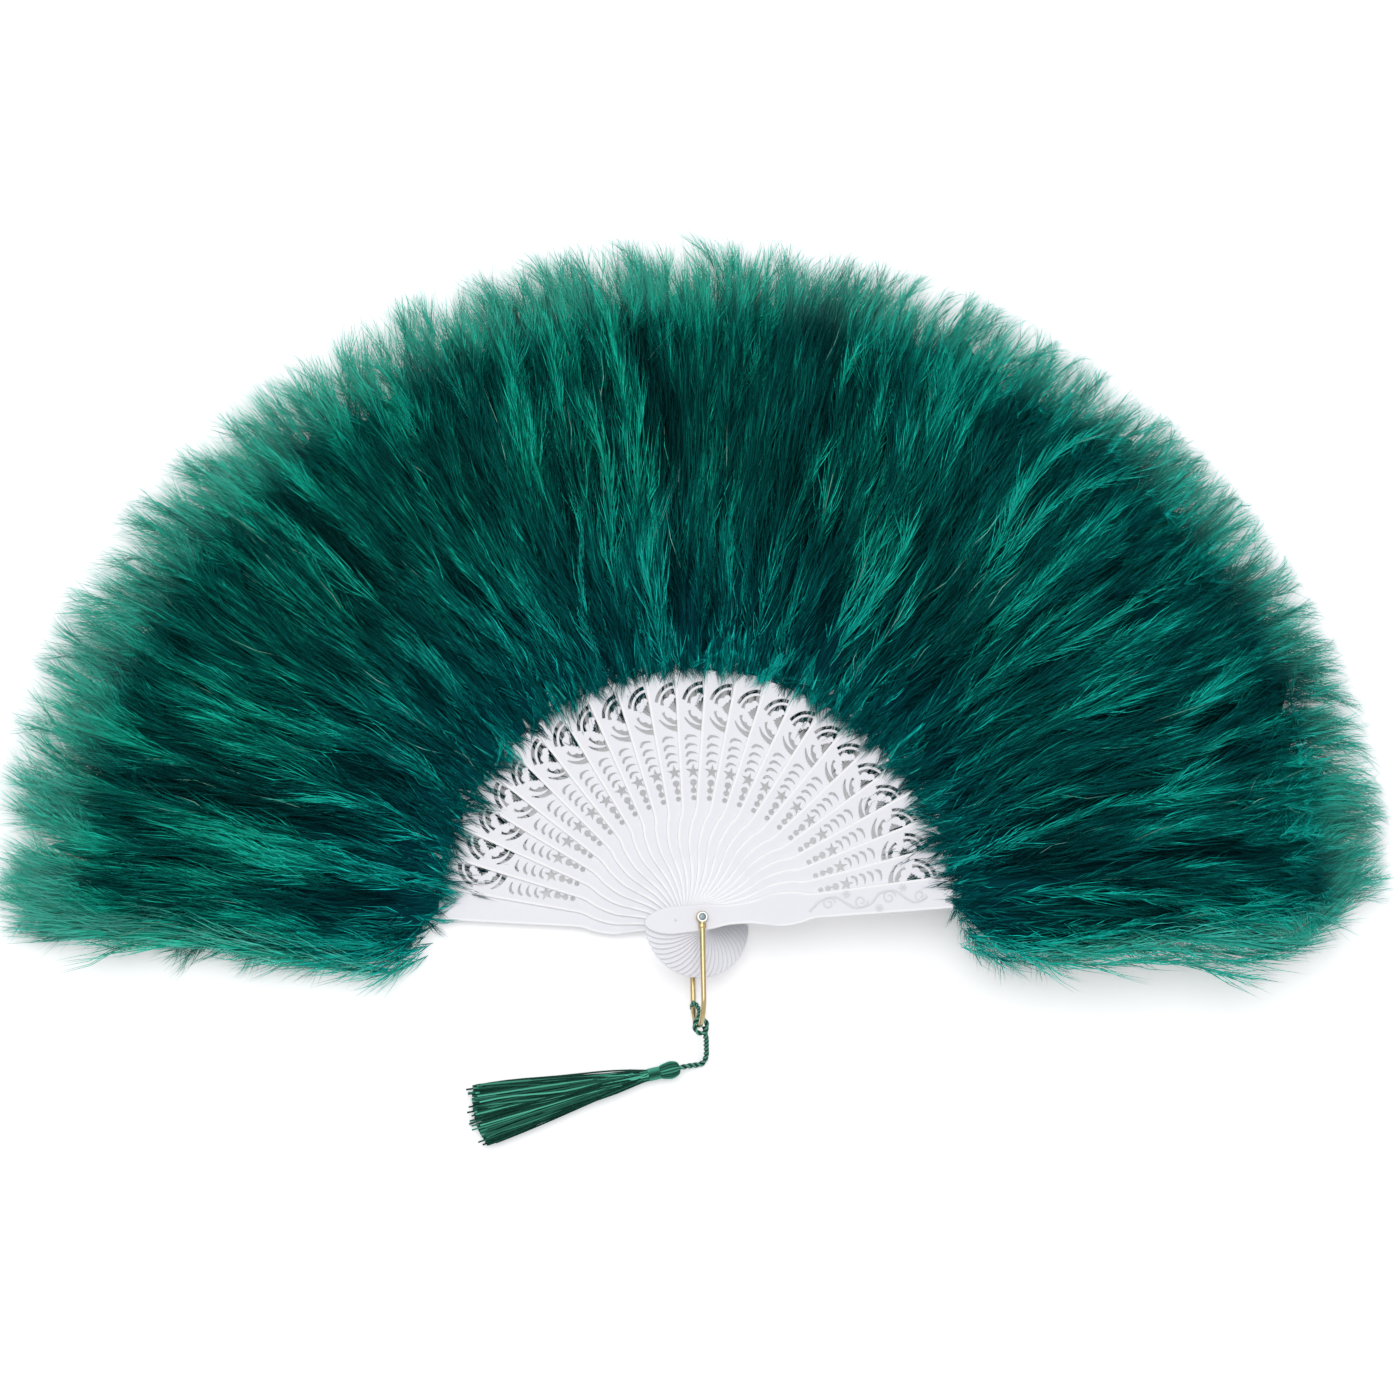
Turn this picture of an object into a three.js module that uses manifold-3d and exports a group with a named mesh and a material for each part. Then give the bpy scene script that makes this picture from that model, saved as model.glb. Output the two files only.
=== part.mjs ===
// Folding feather fan, lying open on a table.
// Two plain guards and the pierced sticks between them turn on one rivet. A plume of down is
// glued to each rib, a wire bail straddles the stack, and a tassel is hitched to the bail.
// The rivet's axis is +Z, +X points to the fan's right, and the table is at z = 0.
// Lengths are in millimetres.

import * as THREE from 'three';
import { mergeVertices } from 'three/addons/utils/BufferGeometryUtils.js';
import Module from 'manifold-3d';

const wasm = await Module();
wasm.setup();

// Spread of the ribs, as angles about the rivet
const stickCount = 23;
const backGuardAngle = THREE.MathUtils.degToRad(177.5);
const frontGuardAngle = THREE.MathUtils.degToRad(8.1);
const ribPitch = (backGuardAngle - frontGuardAngle) / (stickCount + 1);

// Ribs: a guard or a stick has a leaf-shaped head, a wide blade and a slim tail under the down
const stickThickness = 0.9;
const guardThickness = 1.8;
const headLength = 22.6;
const bladeLength = 101;
const bladeHalfWidth = 6.6;
const tailLength = 84;
const stickTailHalfWidth = 2.2;
const guardTailHalfWidth = 3.2;
const tailTipShare = 0.6;
const turningClearance = 0.15;
const slideGap = 0.1;

// Rivet, its washers and the wire bail
const rivetRadius = 1.1;
const rivetHeadRadius = 1.45;
const rivetHeadHeight = 0.4;
const washerRadius = 2;
const washerThickness = 0.4;
const wireRadius = 1.05;
const eyeRadius = 2.7;
const eyeHeightShare = 0.76;
const eyeHeight = 2 * wireRadius * eyeHeightShare;
const bailLegLength = 31.6;
const bailBendDepth = 9.9;
const bailAngle = THREE.MathUtils.degToRad(-87.5);
const neckLength = 2.4;
const neckHalfWidth = 1.5;
const neckHeightShare = 0.95;

// Plumes of down
const plumeSetback = 1.4;
const plumeRoot = bladeLength + plumeSetback;
const plumeReach = 276;
const plumeLoft = 16;
const plumeTipHeight = 12;
const plumeGap = 0.3;
const tailClearance = 0.3;
const endSpread = 38;

// Tassel and its cord
const cordRadius = 0.9;
const hitchClearance = 0.4;
const softGap = 0.3;
const tasselAngle = THREE.MathUtils.degToRad(195);
const tasselX = -3.7;
const tasselY = -57.4;
const headRadius = 3.6;
const tasselHeadLength = 8;
const bindingRadius = 2.6;
const bindingLength = 4.8;
const bindingShoulderShare = 0.1;
const bindingEndShare = 0.9;
const skirtLength = 71.5;
const skirtHalfWidth = 10.7;
const skirtHalfHeight = 3.3;

// Heights of the layers, from the table up
const backLegZ = rivetHeadHeight + washerThickness + slideGap + eyeHeight / 2;
const backGuardZ = backLegZ + wireRadius + slideGap;
const firstStickZ = backGuardZ + guardThickness + slideGap;
const stickStep = stickThickness + slideGap;
const frontGuardZ = firstStickZ + stickCount * stickStep;
const frontLegZ = frontGuardZ + guardThickness + slideGap + wireRadius;
const frontWasherZ = frontLegZ + eyeHeight / 2 + slideGap;
const rivetLength = frontWasherZ + washerThickness + rivetHeadHeight;

// Route of the tassel's cord from the hitch to the tassel's head, chosen by hand
const cordRoute = [
  [4.3, -44.6, 16.1],
  [5.2, -46.3, 13.2],
  [5.9, -48.8, 9.0],
  [6.6, -51.6, 4.9],
  [6.4, -54.0, 2.0],
  [5.0, -55.5, 1.1],
  [2.4, -56.1, 1.5],
  [-0.4, -56.6, 2.8],
  [-3.4, -57.3, 3.6],
];

// Half outline of a rib: place along the head or the blade, and half width
const headOutlineShares = [
  [-1, 0.14],
  [-0.93, 0.39],
  [-0.8, 0.64],
  [-0.6, 0.81],
  [-0.38, 0.83],
];
const bladeOutlineShares = [
  [0.03, 0.76],
  [0.1, 0.62],
  [0.17, 0.64],
  [0.23, 0.79],
  [0.31, 1.03],
  [0.385, 0.97],
  [0.44, 0.78],
  [0.515, 0.79],
  [1, 1],
];

// Piercings of a stick. Places along are shares of the blade's length, and places across and
// radii are shares of its half width. The left edge of the blade is the positive side. The
// rosette's rings are shares of its two half widths, between two angles in degrees.
const singleDotShares = { along: 0.488, radius: 0.135 };
const innerDotShares = { along: 0.517, radius: 0.16 };
const outerDotShares = { along: 0.5485, radius: 0.19 };
const dotLinkShare = 0.055;
const starShares = { along: 0.594, radius: 0.32, waist: 0.42 };
const crescentShares = [
  { along: 0.637, across: 0.09, halfWidth: 0.21 },
  { along: 0.67, across: 0.1, halfWidth: 0.24 },
  { along: 0.701, across: 0.12, halfWidth: 0.27 },
  { along: 0.738, across: 0.12, halfWidth: 0.3 },
];
const crescentRiseShare = 0.25;
const crescentThicknessShare = 0.09;
const crescentCrestShare = 0.5;
const crescentNotchShare = 0.33;
const rosetteShares = { along: 0.856, across: -0.64, halfLength: 0.099, halfWidth: 1.24 };
const rosetteRingShares = [
  { outer: 1, inner: 0.89, from: 28, to: 86 },
  { outer: 0.73, inner: 0.52, from: 22, to: 84 },
];
const rosetteHeartShares = [
  [0, 0.4],
  [0.2, 0.22],
  [0.36, 0.05],
  [-0.36, 0.05],
  [-0.2, 0.22],
];

// Plume sections, from the roots to the tip: place along, crest above the rib, belly below it,
// droop towards the tip's height, and spread of an end plume's free side
const plumeSectionShares = [
  { along: 0, crest: 0.24, belly: 0.5, droop: 0, spread: 0.2 },
  { along: 0.1, crest: 0.62, belly: 0.9, droop: 0, spread: 0.72 },
  { along: 0.3, crest: 1, belly: 1, droop: 0, spread: 1 },
  { along: 0.55, crest: 0.92, belly: 1, droop: 0.2, spread: 0.97 },
  { along: 0.82, crest: 0.6, belly: 1, droop: 0.65, spread: 0.8 },
  { along: 1, crest: 0.16, belly: 0.5, droop: 1, spread: 0.42 },
];
const plumeColumnShares = [
  { side: -1, reach: 0.95, crown: 0.72 },
  { side: -0.5, reach: 0.985, crown: 0.95 },
  { side: 0, reach: 1, crown: 1 },
  { side: 0.5, reach: 0.975, crown: 0.93 },
  { side: 1, reach: 0.945, crown: 0.72 },
];
const plumeReachShares = [1, 0.985, 0.995, 0.975, 0.99];

// Tassel head: place along, and radius as a share of the head's
const tasselHeadShares = [
  [0, 0.45],
  [0.14, 0.8],
  [0.42, 1],
  [0.72, 0.93],
  [0.93, 0.84],
];

// Tassel skirt sections: place along, half width, half height. The skirt's middle comes down to
// the table over the first share of its length.
const skirtDropShare = 0.25;
const skirtSectionShares = [
  [0, 0.21, 0.7],
  [0.12, 0.32, 0.88],
  [0.36, 0.52, 0.97],
  [0.7, 0.78, 1],
  [0.97, 1, 0.97],
  [1, 0.98, 0.88],
];
const skirtSides = 12;

const white = { color: 0xf1f2f5, roughness: 0.45, metalness: 0 };
const down = { color: 0x0b6b58, roughness: 0.95, metalness: 0 };
const gold = { color: 0xd8ad3a, roughness: 0.22, metalness: 1 };
const silver = { color: 0xb9bcc0, roughness: 0.3, metalness: 1 };
const thread = { color: 0x17604f, roughness: 0.6, metalness: 0 };

function named(name, geometry, finish) {
  const mesh = new THREE.Mesh(geometry, new THREE.MeshStandardMaterial(finish));
  mesh.name = name;
  return mesh;
}

function toSolid(geometry) {
  const bare = geometry.index ? geometry.toNonIndexed() : geometry.clone();
  bare.deleteAttribute('normal');
  bare.deleteAttribute('uv');
  const merged = mergeVertices(bare);
  return new wasm.Manifold(new wasm.Mesh({
    numProp: 3,
    vertProperties: new Float32Array(merged.attributes.position.array),
    triVerts: new Uint32Array(merged.index.array),
  }));
}

function toGeometry(solid) {
  const mesh = solid.getMesh();
  const geometry = new THREE.BufferGeometry();
  geometry.setAttribute('position', new THREE.BufferAttribute(mesh.vertProperties, mesh.numProp));
  geometry.setIndex(new THREE.BufferAttribute(mesh.triVerts, 1));
  geometry.computeVertexNormals();
  return geometry;
}

function arcPoints(centreX, centreY, radiusX, radiusY, from, to, count) {
  const points = [];
  for (let i = 0; i < count; i += 1) {
    const angle = from + ((to - from) * i) / (count - 1);
    const x = centreX + radiusX * Math.cos(angle);
    points.push(new THREE.Vector2(x, centreY + radiusY * Math.sin(angle)));
  }
  return points;
}

function roundHole(radius, sides) {
  return arcPoints(0, 0, radius, radius, 0, 2 * Math.PI, sides + 1).slice(0, sides);
}

function plate(points, holes, thickness) {
  const shape = new THREE.Shape(points);
  shape.holes = holes.map((hole) => new THREE.Path(hole));
  return new THREE.ExtrudeGeometry(shape, { depth: thickness, bevelEnabled: false });
}

// The outline of a rib, with its head on the negative side of the rivet
function ribOutline(tailHalfWidth) {
  const half = [];
  for (const [along, width] of headOutlineShares) {
    half.push([along * headLength, width * bladeHalfWidth]);
  }
  for (const [along, width] of bladeOutlineShares) {
    half.push([along * bladeLength, width * bladeHalfWidth]);
  }
  half.push([bladeLength, tailHalfWidth]);
  half.push([bladeLength + tailLength, tailHalfWidth * tailTipShare]);
  const left = half.map(([x, y]) => new THREE.Vector2(x, -y));
  const right = half.map(([x, y]) => new THREE.Vector2(x, y)).reverse();
  return left.concat(right);
}

function dotHole({ along, radius }) {
  const size = radius * bladeHalfWidth;
  return roundHole(size, 6).map((p) => new THREE.Vector2(p.x + along * bladeLength, p.y));
}

// Two dots joined by a narrow link
function linkedDots() {
  const link = dotLinkShare * bladeHalfWidth;
  const outerSize = outerDotShares.radius * bladeHalfWidth;
  const innerSize = innerDotShares.radius * bladeHalfWidth;
  const outerGap = Math.asin(link / outerSize);
  const innerGap = Math.asin(link / innerSize);
  const outerX = outerDotShares.along * bladeLength;
  const innerX = innerDotShares.along * bladeLength;
  const outer = arcPoints(outerX, 0, outerSize, outerSize, outerGap - Math.PI, Math.PI - outerGap, 5);
  const inner = arcPoints(innerX, 0, innerSize, innerSize, innerGap, 2 * Math.PI - innerGap, 5);
  return outer.concat(inner);
}

function starHole() {
  const points = [];
  const size = starShares.radius * bladeHalfWidth;
  for (let i = 0; i < 10; i += 1) {
    const radius = i % 2 ? size * starShares.waist : size;
    const angle = (i * Math.PI) / 5;
    const x = starShares.along * bladeLength + radius * Math.cos(angle);
    points.push(new THREE.Vector2(x, radius * Math.sin(angle)));
  }
  return points;
}

function crescentHole({ along, across, halfWidth }) {
  const crest = along * bladeLength;
  const middle = across * bladeHalfWidth;
  const half = halfWidth * bladeHalfWidth;
  const rise = crescentRiseShare * bladeHalfWidth;
  const thickness = crescentThicknessShare * bladeHalfWidth;
  return [
    new THREE.Vector2(crest - rise, middle - half),
    new THREE.Vector2(crest, middle - half * crescentCrestShare),
    new THREE.Vector2(crest, middle + half * crescentCrestShare),
    new THREE.Vector2(crest - rise, middle + half),
    new THREE.Vector2(crest - thickness, middle + half * crescentNotchShare),
    new THREE.Vector2(crest - thickness, middle - half * crescentNotchShare),
  ];
}

// One slot of the half rosette, on the outer side of its centre or on the inner one
function rosetteSlot({ outer, inner, from, to }, outward) {
  const x = rosetteShares.along * bladeLength;
  const y = rosetteShares.across * bladeHalfWidth;
  const long = rosetteShares.halfLength * bladeLength * outward;
  const wide = rosetteShares.halfWidth * bladeHalfWidth;
  const start = THREE.MathUtils.degToRad(90 - from);
  const end = THREE.MathUtils.degToRad(90 - to);
  const rim = arcPoints(x, y, long * outer, wide * outer, start, end, 3);
  return rim.concat(arcPoints(x, y, long * inner, wide * inner, end, start, 3));
}

function rosetteHeart() {
  return rosetteHeartShares.map(([along, across]) => new THREE.Vector2(
    rosetteShares.along * bladeLength + along * rosetteShares.halfLength * bladeLength,
    rosetteShares.across * bladeHalfWidth + across * rosetteShares.halfWidth * bladeHalfWidth,
  ));
}

function stickPiercings() {
  const holes = [dotHole(singleDotShares), linkedDots(), starHole(), rosetteHeart()];
  for (const crescent of crescentShares) {
    holes.push(crescentHole(crescent));
  }
  for (const ring of rosetteRingShares) {
    holes.push(rosetteSlot(ring, 1), rosetteSlot(ring, -1));
  }
  return holes;
}

function guard() {
  const hole = roundHole(rivetRadius + turningClearance, 12);
  return plate(ribOutline(guardTailHalfWidth), [hole], guardThickness);
}

function stick() {
  const hole = roundHole(rivetRadius + turningClearance, 8);
  return plate(ribOutline(stickTailHalfWidth), [hole, ...stickPiercings()], stickThickness);
}

// The pocket in a plume that holds the rib's tail
function tailPocket(tailHalfWidth, thickness, bottomZ) {
  const startX = bladeLength;
  const endX = bladeLength + tailLength + tailClearance;
  const start = tailHalfWidth + tailClearance;
  const end = tailHalfWidth * tailTipShare + tailClearance;
  const outline = [
    new THREE.Vector2(startX, -start),
    new THREE.Vector2(endX, -end),
    new THREE.Vector2(endX, end),
    new THREE.Vector2(startX, start),
  ];
  const pocket = plate(outline, [], thickness + 2 * tailClearance);
  pocket.translate(0, 0, bottomZ - tailClearance);
  return pocket;
}

// A wedge of down round one tail. It rests on the table, and freeSide is -1 or 1 on an end
// plume, whose outer side spreads past its guard, or 0 on the others.
function plume(order, freeSide, tailHalfWidth, thickness, bottomZ) {
  const ribZ = bottomZ + thickness / 2;
  const reach = plumeReach * plumeReachShares[order % plumeReachShares.length];
  const top = [];
  const bottom = [];
  for (const section of plumeSectionShares) {
    const base = ribZ + (plumeTipHeight - ribZ) * section.droop;
    const topRow = [];
    const bottomRow = [];
    for (const column of plumeColumnShares) {
      const x = plumeRoot + section.along * (reach * column.reach - plumeRoot);
      const wedge = x * Math.tan(ribPitch / 2) - plumeGap / 2;
      const free = Math.sign(column.side) === freeSide && freeSide !== 0;
      const half = free ? wedge + endSpread * section.spread : wedge;
      const y = half * column.side;
      topRow.push([x, y, base + plumeLoft * section.crest * column.crown]);
      bottomRow.push([x, y, base * (1 - section.belly)]);
    }
    top.push(topRow);
    bottom.push(bottomRow);
  }
  const body = toSolid(gridSolid(top, bottom));
  const pocket = toSolid(tailPocket(tailHalfWidth, thickness, bottomZ));
  return toGeometry(body.subtract(pocket));
}

// A closed body between an upper and a lower grid of points, with rows along +X
function gridSolid(top, bottom) {
  const rows = top.length;
  const columns = top[0].length;
  const positions = [];
  for (const row of top.concat(bottom)) {
    for (const point of row) {
      positions.push(...point);
    }
  }
  const upper = (r, c) => r * columns + c;
  const lower = (r, c) => (rows + r) * columns + c;
  const index = [];
  const quad = (a, b, c, d) => index.push(a, b, c, a, c, d);
  for (let r = 0; r < rows - 1; r += 1) {
    for (let c = 0; c < columns - 1; c += 1) {
      quad(upper(r, c), upper(r + 1, c), upper(r + 1, c + 1), upper(r, c + 1));
      quad(lower(r, c), lower(r, c + 1), lower(r + 1, c + 1), lower(r + 1, c));
    }
    const last = columns - 1;
    quad(lower(r, 0), lower(r + 1, 0), upper(r + 1, 0), upper(r, 0));
    quad(lower(r + 1, last), lower(r, last), upper(r, last), upper(r + 1, last));
  }
  const end = rows - 1;
  for (let c = 0; c < columns - 1; c += 1) {
    quad(lower(0, c + 1), lower(0, c), upper(0, c), upper(0, c + 1));
    quad(lower(end, c), lower(end, c + 1), upper(end, c + 1), upper(end, c));
  }
  const geometry = new THREE.BufferGeometry();
  geometry.setAttribute('position', new THREE.Float32BufferAttribute(positions, 3));
  geometry.setIndex(index);
  return geometry;
}

// The rivet, with both heads as they are once it is closed
function rivet() {
  const profile = [
    [0, 0],
    [rivetHeadRadius, 0],
    [rivetHeadRadius, rivetHeadHeight],
    [rivetRadius, rivetHeadHeight],
    [rivetRadius, rivetLength - rivetHeadHeight],
    [rivetHeadRadius, rivetLength - rivetHeadHeight],
    [rivetHeadRadius, rivetLength],
    [0, rivetLength],
  ];
  const lathe = new THREE.LatheGeometry(profile.map(([x, y]) => new THREE.Vector2(x, y)), 12);
  return lathe.rotateX(Math.PI / 2);
}

function washer() {
  const hole = roundHole(rivetRadius + slideGap, 12);
  return plate(roundHole(washerRadius, 12), [hole], washerThickness);
}

// The bail's wire: two straight legs and a half ellipse that joins them, in a plane along +X
function bailWire() {
  const start = washerRadius + 2 * slideGap;
  const middle = (frontLegZ + backLegZ) / 2;
  const halfGap = (frontLegZ - backLegZ) / 2;
  const points = [];
  const legSteps = 4;
  for (let i = 0; i < legSteps; i += 1) {
    points.push([start + ((bailLegLength - start) * i) / legSteps, frontLegZ]);
  }
  const bendSteps = 8;
  for (let i = 0; i <= bendSteps; i += 1) {
    const angle = (Math.PI * i) / bendSteps;
    const x = bailLegLength + bailBendDepth * Math.sin(angle);
    points.push([x, middle + halfGap * Math.cos(angle)]);
  }
  for (let i = legSteps - 1; i >= 0; i -= 1) {
    points.push([start + ((bailLegLength - start) * i) / legSteps, backLegZ]);
  }
  const path = new THREE.CatmullRomCurve3(points.map(([x, z]) => new THREE.Vector3(x, 0, z)));
  const section = new THREE.Shape(roundHole(wireRadius, 8));
  return new THREE.ExtrudeGeometry(section, { steps: 26, extrudePath: path, bevelEnabled: false });
}

function bailEye(legZ) {
  const ring = plate(roundHole(eyeRadius, 14), [roundHole(rivetRadius + turningClearance, 12)], eyeHeight);
  ring.translate(0, 0, legZ - eyeHeight / 2);
  return toSolid(ring);
}

// The flattened neck where the wire closes on itself below its eye
function bailNeck(legZ) {
  const neck = new THREE.CylinderGeometry(neckHalfWidth, neckHalfWidth, neckLength, 10);
  neck.rotateZ(Math.PI / 2);
  neck.scale(1, 1, (wireRadius * neckHeightShare) / neckHalfWidth);
  neck.translate(washerRadius + 2 * slideGap + neckLength / 2, 0, legZ);
  return toSolid(neck);
}

function bail() {
  let solid = toSolid(bailWire());
  for (const legZ of [frontLegZ, backLegZ]) {
    solid = solid.add(bailEye(legZ)).add(bailNeck(legZ));
  }
  return toGeometry(solid);
}

// The loop of cord round the bail's bend
function hitch() {
  const radius = wireRadius + hitchClearance + cordRadius;
  return new THREE.TorusGeometry(radius, cordRadius, 8, 14);
}

function tasselCord() {
  const path = new THREE.CatmullRomCurve3(cordRoute.map((point) => new THREE.Vector3(...point)));
  const section = new THREE.Shape(roundHole(cordRadius, 8));
  return new THREE.ExtrudeGeometry(section, { steps: 14, extrudePath: path, bevelEnabled: false });
}

// A turned form along +X, from pairs of place and radius
function turned(pairs, sides) {
  const profile = pairs.map(([along, radius]) => new THREE.Vector2(radius, along));
  return new THREE.LatheGeometry(profile, sides).rotateZ(-Math.PI / 2);
}

function tasselHead() {
  const bulb = tasselHeadShares.map(([along, share]) => [along * tasselHeadLength, share * headRadius]);
  const neck = bindingRadius * bindingEndShare;
  return turned([[0, 0], ...bulb, [tasselHeadLength, neck], [tasselHeadLength, 0]], 12);
}

function tasselBinding() {
  const shoulder = bindingLength * bindingShoulderShare;
  const end = bindingRadius * bindingEndShare;
  return turned([
    [0, 0],
    [0, end],
    [shoulder, bindingRadius],
    [bindingLength - shoulder, bindingRadius],
    [bindingLength, end],
    [bindingLength, 0],
  ], 12);
}

// The flattened brush of threads, lying on the table while its neck is held up by the head
function tasselSkirt() {
  const positions = [];
  const index = [];
  skirtSectionShares.forEach(([along, width, height], row) => {
    const halfHeight = height * skirtHalfHeight;
    const lift = Math.max(halfHeight, headRadius * (1 - along / skirtDropShare));
    for (let i = 0; i < skirtSides; i += 1) {
      const angle = (2 * Math.PI * i) / skirtSides;
      const y = width * skirtHalfWidth * Math.cos(angle);
      positions.push(along * skirtLength, y, lift - headRadius + halfHeight * Math.sin(angle));
    }
  });
  const at = (row, i) => row * skirtSides + (i % skirtSides);
  const last = skirtSectionShares.length - 1;
  for (let i = 0; i < skirtSides; i += 1) {
    for (let row = 0; row < last; row += 1) {
      index.push(at(row, i), at(row, i + 1), at(row + 1, i + 1));
      index.push(at(row, i), at(row + 1, i + 1), at(row + 1, i));
    }
    if (i > 0 && i < skirtSides - 1) {
      index.push(at(0, 0), at(0, i + 1), at(0, i));
      index.push(at(last, 0), at(last, i), at(last, i + 1));
    }
  }
  const geometry = new THREE.BufferGeometry();
  geometry.setAttribute('position', new THREE.Float32BufferAttribute(positions, 3));
  geometry.setIndex(index);
  geometry.computeVertexNormals();
  return geometry;
}

const fan = new THREE.Group();

function addRib(ribMesh, plumeMesh, angle, z) {
  const rib = new THREE.Group();
  rib.rotation.z = angle;
  ribMesh.position.z = z;
  rib.add(ribMesh, plumeMesh);
  fan.add(rib);
}

const guardTail = [guardTailHalfWidth, guardThickness];
const stickTail = [stickTailHalfWidth, stickThickness];

addRib(
  named('back_guard', guard(), white),
  named('back_guard_plume', plume(0, 1, ...guardTail, backGuardZ), down),
  backGuardAngle,
  backGuardZ,
);
for (let i = 1; i <= stickCount; i += 1) {
  const z = firstStickZ + (i - 1) * stickStep;
  const number = String(i).padStart(2, '0');
  addRib(
    named(`stick_${number}`, stick(), white),
    named(`plume_${number}`, plume(i, 0, ...stickTail, z), down),
    backGuardAngle - i * ribPitch,
    z,
  );
}
addRib(
  named('front_guard', guard(), white),
  named('front_guard_plume', plume(stickCount + 1, -1, ...guardTail, frontGuardZ), down),
  frontGuardAngle,
  frontGuardZ,
);

const backWasher = named('rivet_washer_back', washer(), silver);
backWasher.position.z = rivetHeadHeight;
const frontWasher = named('rivet_washer_front', washer(), silver);
frontWasher.position.z = frontWasherZ;
fan.add(named('rivet', rivet(), silver), backWasher, frontWasher);

const bailGroup = new THREE.Group();
bailGroup.rotation.z = bailAngle;
const hitchMesh = named('cord_hitch', hitch(), thread);
hitchMesh.position.set(bailLegLength + bailBendDepth, 0, (frontLegZ + backLegZ) / 2);
bailGroup.add(named('bail', bail(), gold), hitchMesh);
fan.add(bailGroup);

fan.add(named('tassel_cord', tasselCord(), thread));
const tassel = new THREE.Group();
tassel.position.set(tasselX, tasselY, headRadius);
tassel.rotation.z = tasselAngle;
const binding = named('tassel_binding', tasselBinding(), thread);
binding.position.x = tasselHeadLength + softGap;
const skirt = named('tassel_skirt', tasselSkirt(), thread);
skirt.position.x = tasselHeadLength + bindingLength + 2 * softGap;
tassel.add(named('tassel_head', tasselHead(), thread), binding, skirt);
fan.add(tassel);

export default fan;
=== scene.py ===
# Folding feather fan, lying open on a pale table.
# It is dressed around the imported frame: the rivet's axis is +Z, the table is at z = 0, and every
# length is in metres once a mesh is made. Sizes below are in millimetres.

import math

import bmesh
import bpy
import numpy as np
from mathutils import Matrix, Vector, noise


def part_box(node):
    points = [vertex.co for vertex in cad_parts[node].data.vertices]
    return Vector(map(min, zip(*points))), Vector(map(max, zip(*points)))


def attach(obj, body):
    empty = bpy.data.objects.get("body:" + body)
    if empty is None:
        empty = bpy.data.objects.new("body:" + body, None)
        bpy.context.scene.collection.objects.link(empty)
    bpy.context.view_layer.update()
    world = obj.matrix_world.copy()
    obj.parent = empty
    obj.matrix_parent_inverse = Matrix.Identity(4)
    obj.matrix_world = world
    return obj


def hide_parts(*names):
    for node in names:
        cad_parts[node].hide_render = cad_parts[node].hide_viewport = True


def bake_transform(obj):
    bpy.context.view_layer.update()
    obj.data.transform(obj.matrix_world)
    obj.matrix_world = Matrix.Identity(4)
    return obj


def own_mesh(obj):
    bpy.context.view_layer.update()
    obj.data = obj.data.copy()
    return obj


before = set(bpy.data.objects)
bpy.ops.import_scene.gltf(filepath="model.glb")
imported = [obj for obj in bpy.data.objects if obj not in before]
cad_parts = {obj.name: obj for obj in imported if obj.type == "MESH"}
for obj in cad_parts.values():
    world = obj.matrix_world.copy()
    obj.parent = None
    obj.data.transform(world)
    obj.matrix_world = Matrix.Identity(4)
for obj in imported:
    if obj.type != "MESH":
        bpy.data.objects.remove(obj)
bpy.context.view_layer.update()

# Camera
# It stands over the foot of the fan, a little to the left, and looks down at 78 degrees. Its
# place was fitted to the pierced stars and the rivet in the photograph.
MM = 0.001
VIEW_AZIMUTH = math.radians(-130)
VIEW_ELEVATION = math.radians(77.8)
VIEW_ROLL = math.radians(42)
VIEW_DISTANCE = 1.2
VIEW_TARGET = Vector((0, 60, 15)) * MM
FRAME_WIDTH = 0.56
SENSOR_WIDTH = 36
TARGET_BELOW_MIDDLE = 0.0515


def add_camera():
    flat = math.cos(VIEW_ELEVATION)
    toward = Vector((flat * math.cos(VIEW_AZIMUTH), flat * math.sin(VIEW_AZIMUTH), math.sin(VIEW_ELEVATION)))
    level_up = (Vector((0, 0, 1)) - toward.z * toward).normalized()
    level_right = level_up.cross(toward)
    right = math.cos(VIEW_ROLL) * level_right + math.sin(VIEW_ROLL) * level_up
    up = math.cos(VIEW_ROLL) * level_up - math.sin(VIEW_ROLL) * level_right
    data = bpy.data.cameras.new("camera")
    data.sensor_width = SENSOR_WIDTH
    data.lens = SENSOR_WIDTH * VIEW_DISTANCE / FRAME_WIDTH
    data.shift_y = TARGET_BELOW_MIDDLE
    camera = bpy.data.objects.new("camera", data)
    turn = Matrix((right, up, toward)).transposed().to_4x4()
    camera.matrix_world = Matrix.Translation(VIEW_TARGET + VIEW_DISTANCE * toward) @ turn
    bpy.context.scene.collection.objects.link(camera)
    bpy.context.scene.camera = camera


add_camera()

# Table and light
# The fan lies on a white table under one large softbox, with white walls all round. The table
# is plain white to the camera and keeps the fan's soft shadow.
TABLE_SIDE = 4.0
TABLE_DEPTH = 0.0003
SOFTBOX_PLACE = Vector((-0.32, 0.32, 1.65))
SOFTBOX_SIDE = 1.4
SOFTBOX_POWER = 14.8
WALL_STRENGTH = 0.55
TABLE_GLOW = 0.28


def linear(code):
    """The linear colour of an sRGB hex value, with full alpha."""
    shares = [int(code[i:i + 2], 16) / 255 for i in (1, 3, 5)]
    return [*(c / 12.92 if c <= 0.04045 else ((c + 0.055) / 1.055) ** 2.4 for c in shares), 1]


def set_inputs(node, inputs):
    """Links a node's inputs to the given sockets, or sets them to the given plain values."""
    for key, value in inputs.items():
        if isinstance(value, bpy.types.NodeSocket):
            node.id_data.links.new(value, node.inputs[key])
        else:
            node.inputs[key].default_value = value


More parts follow.
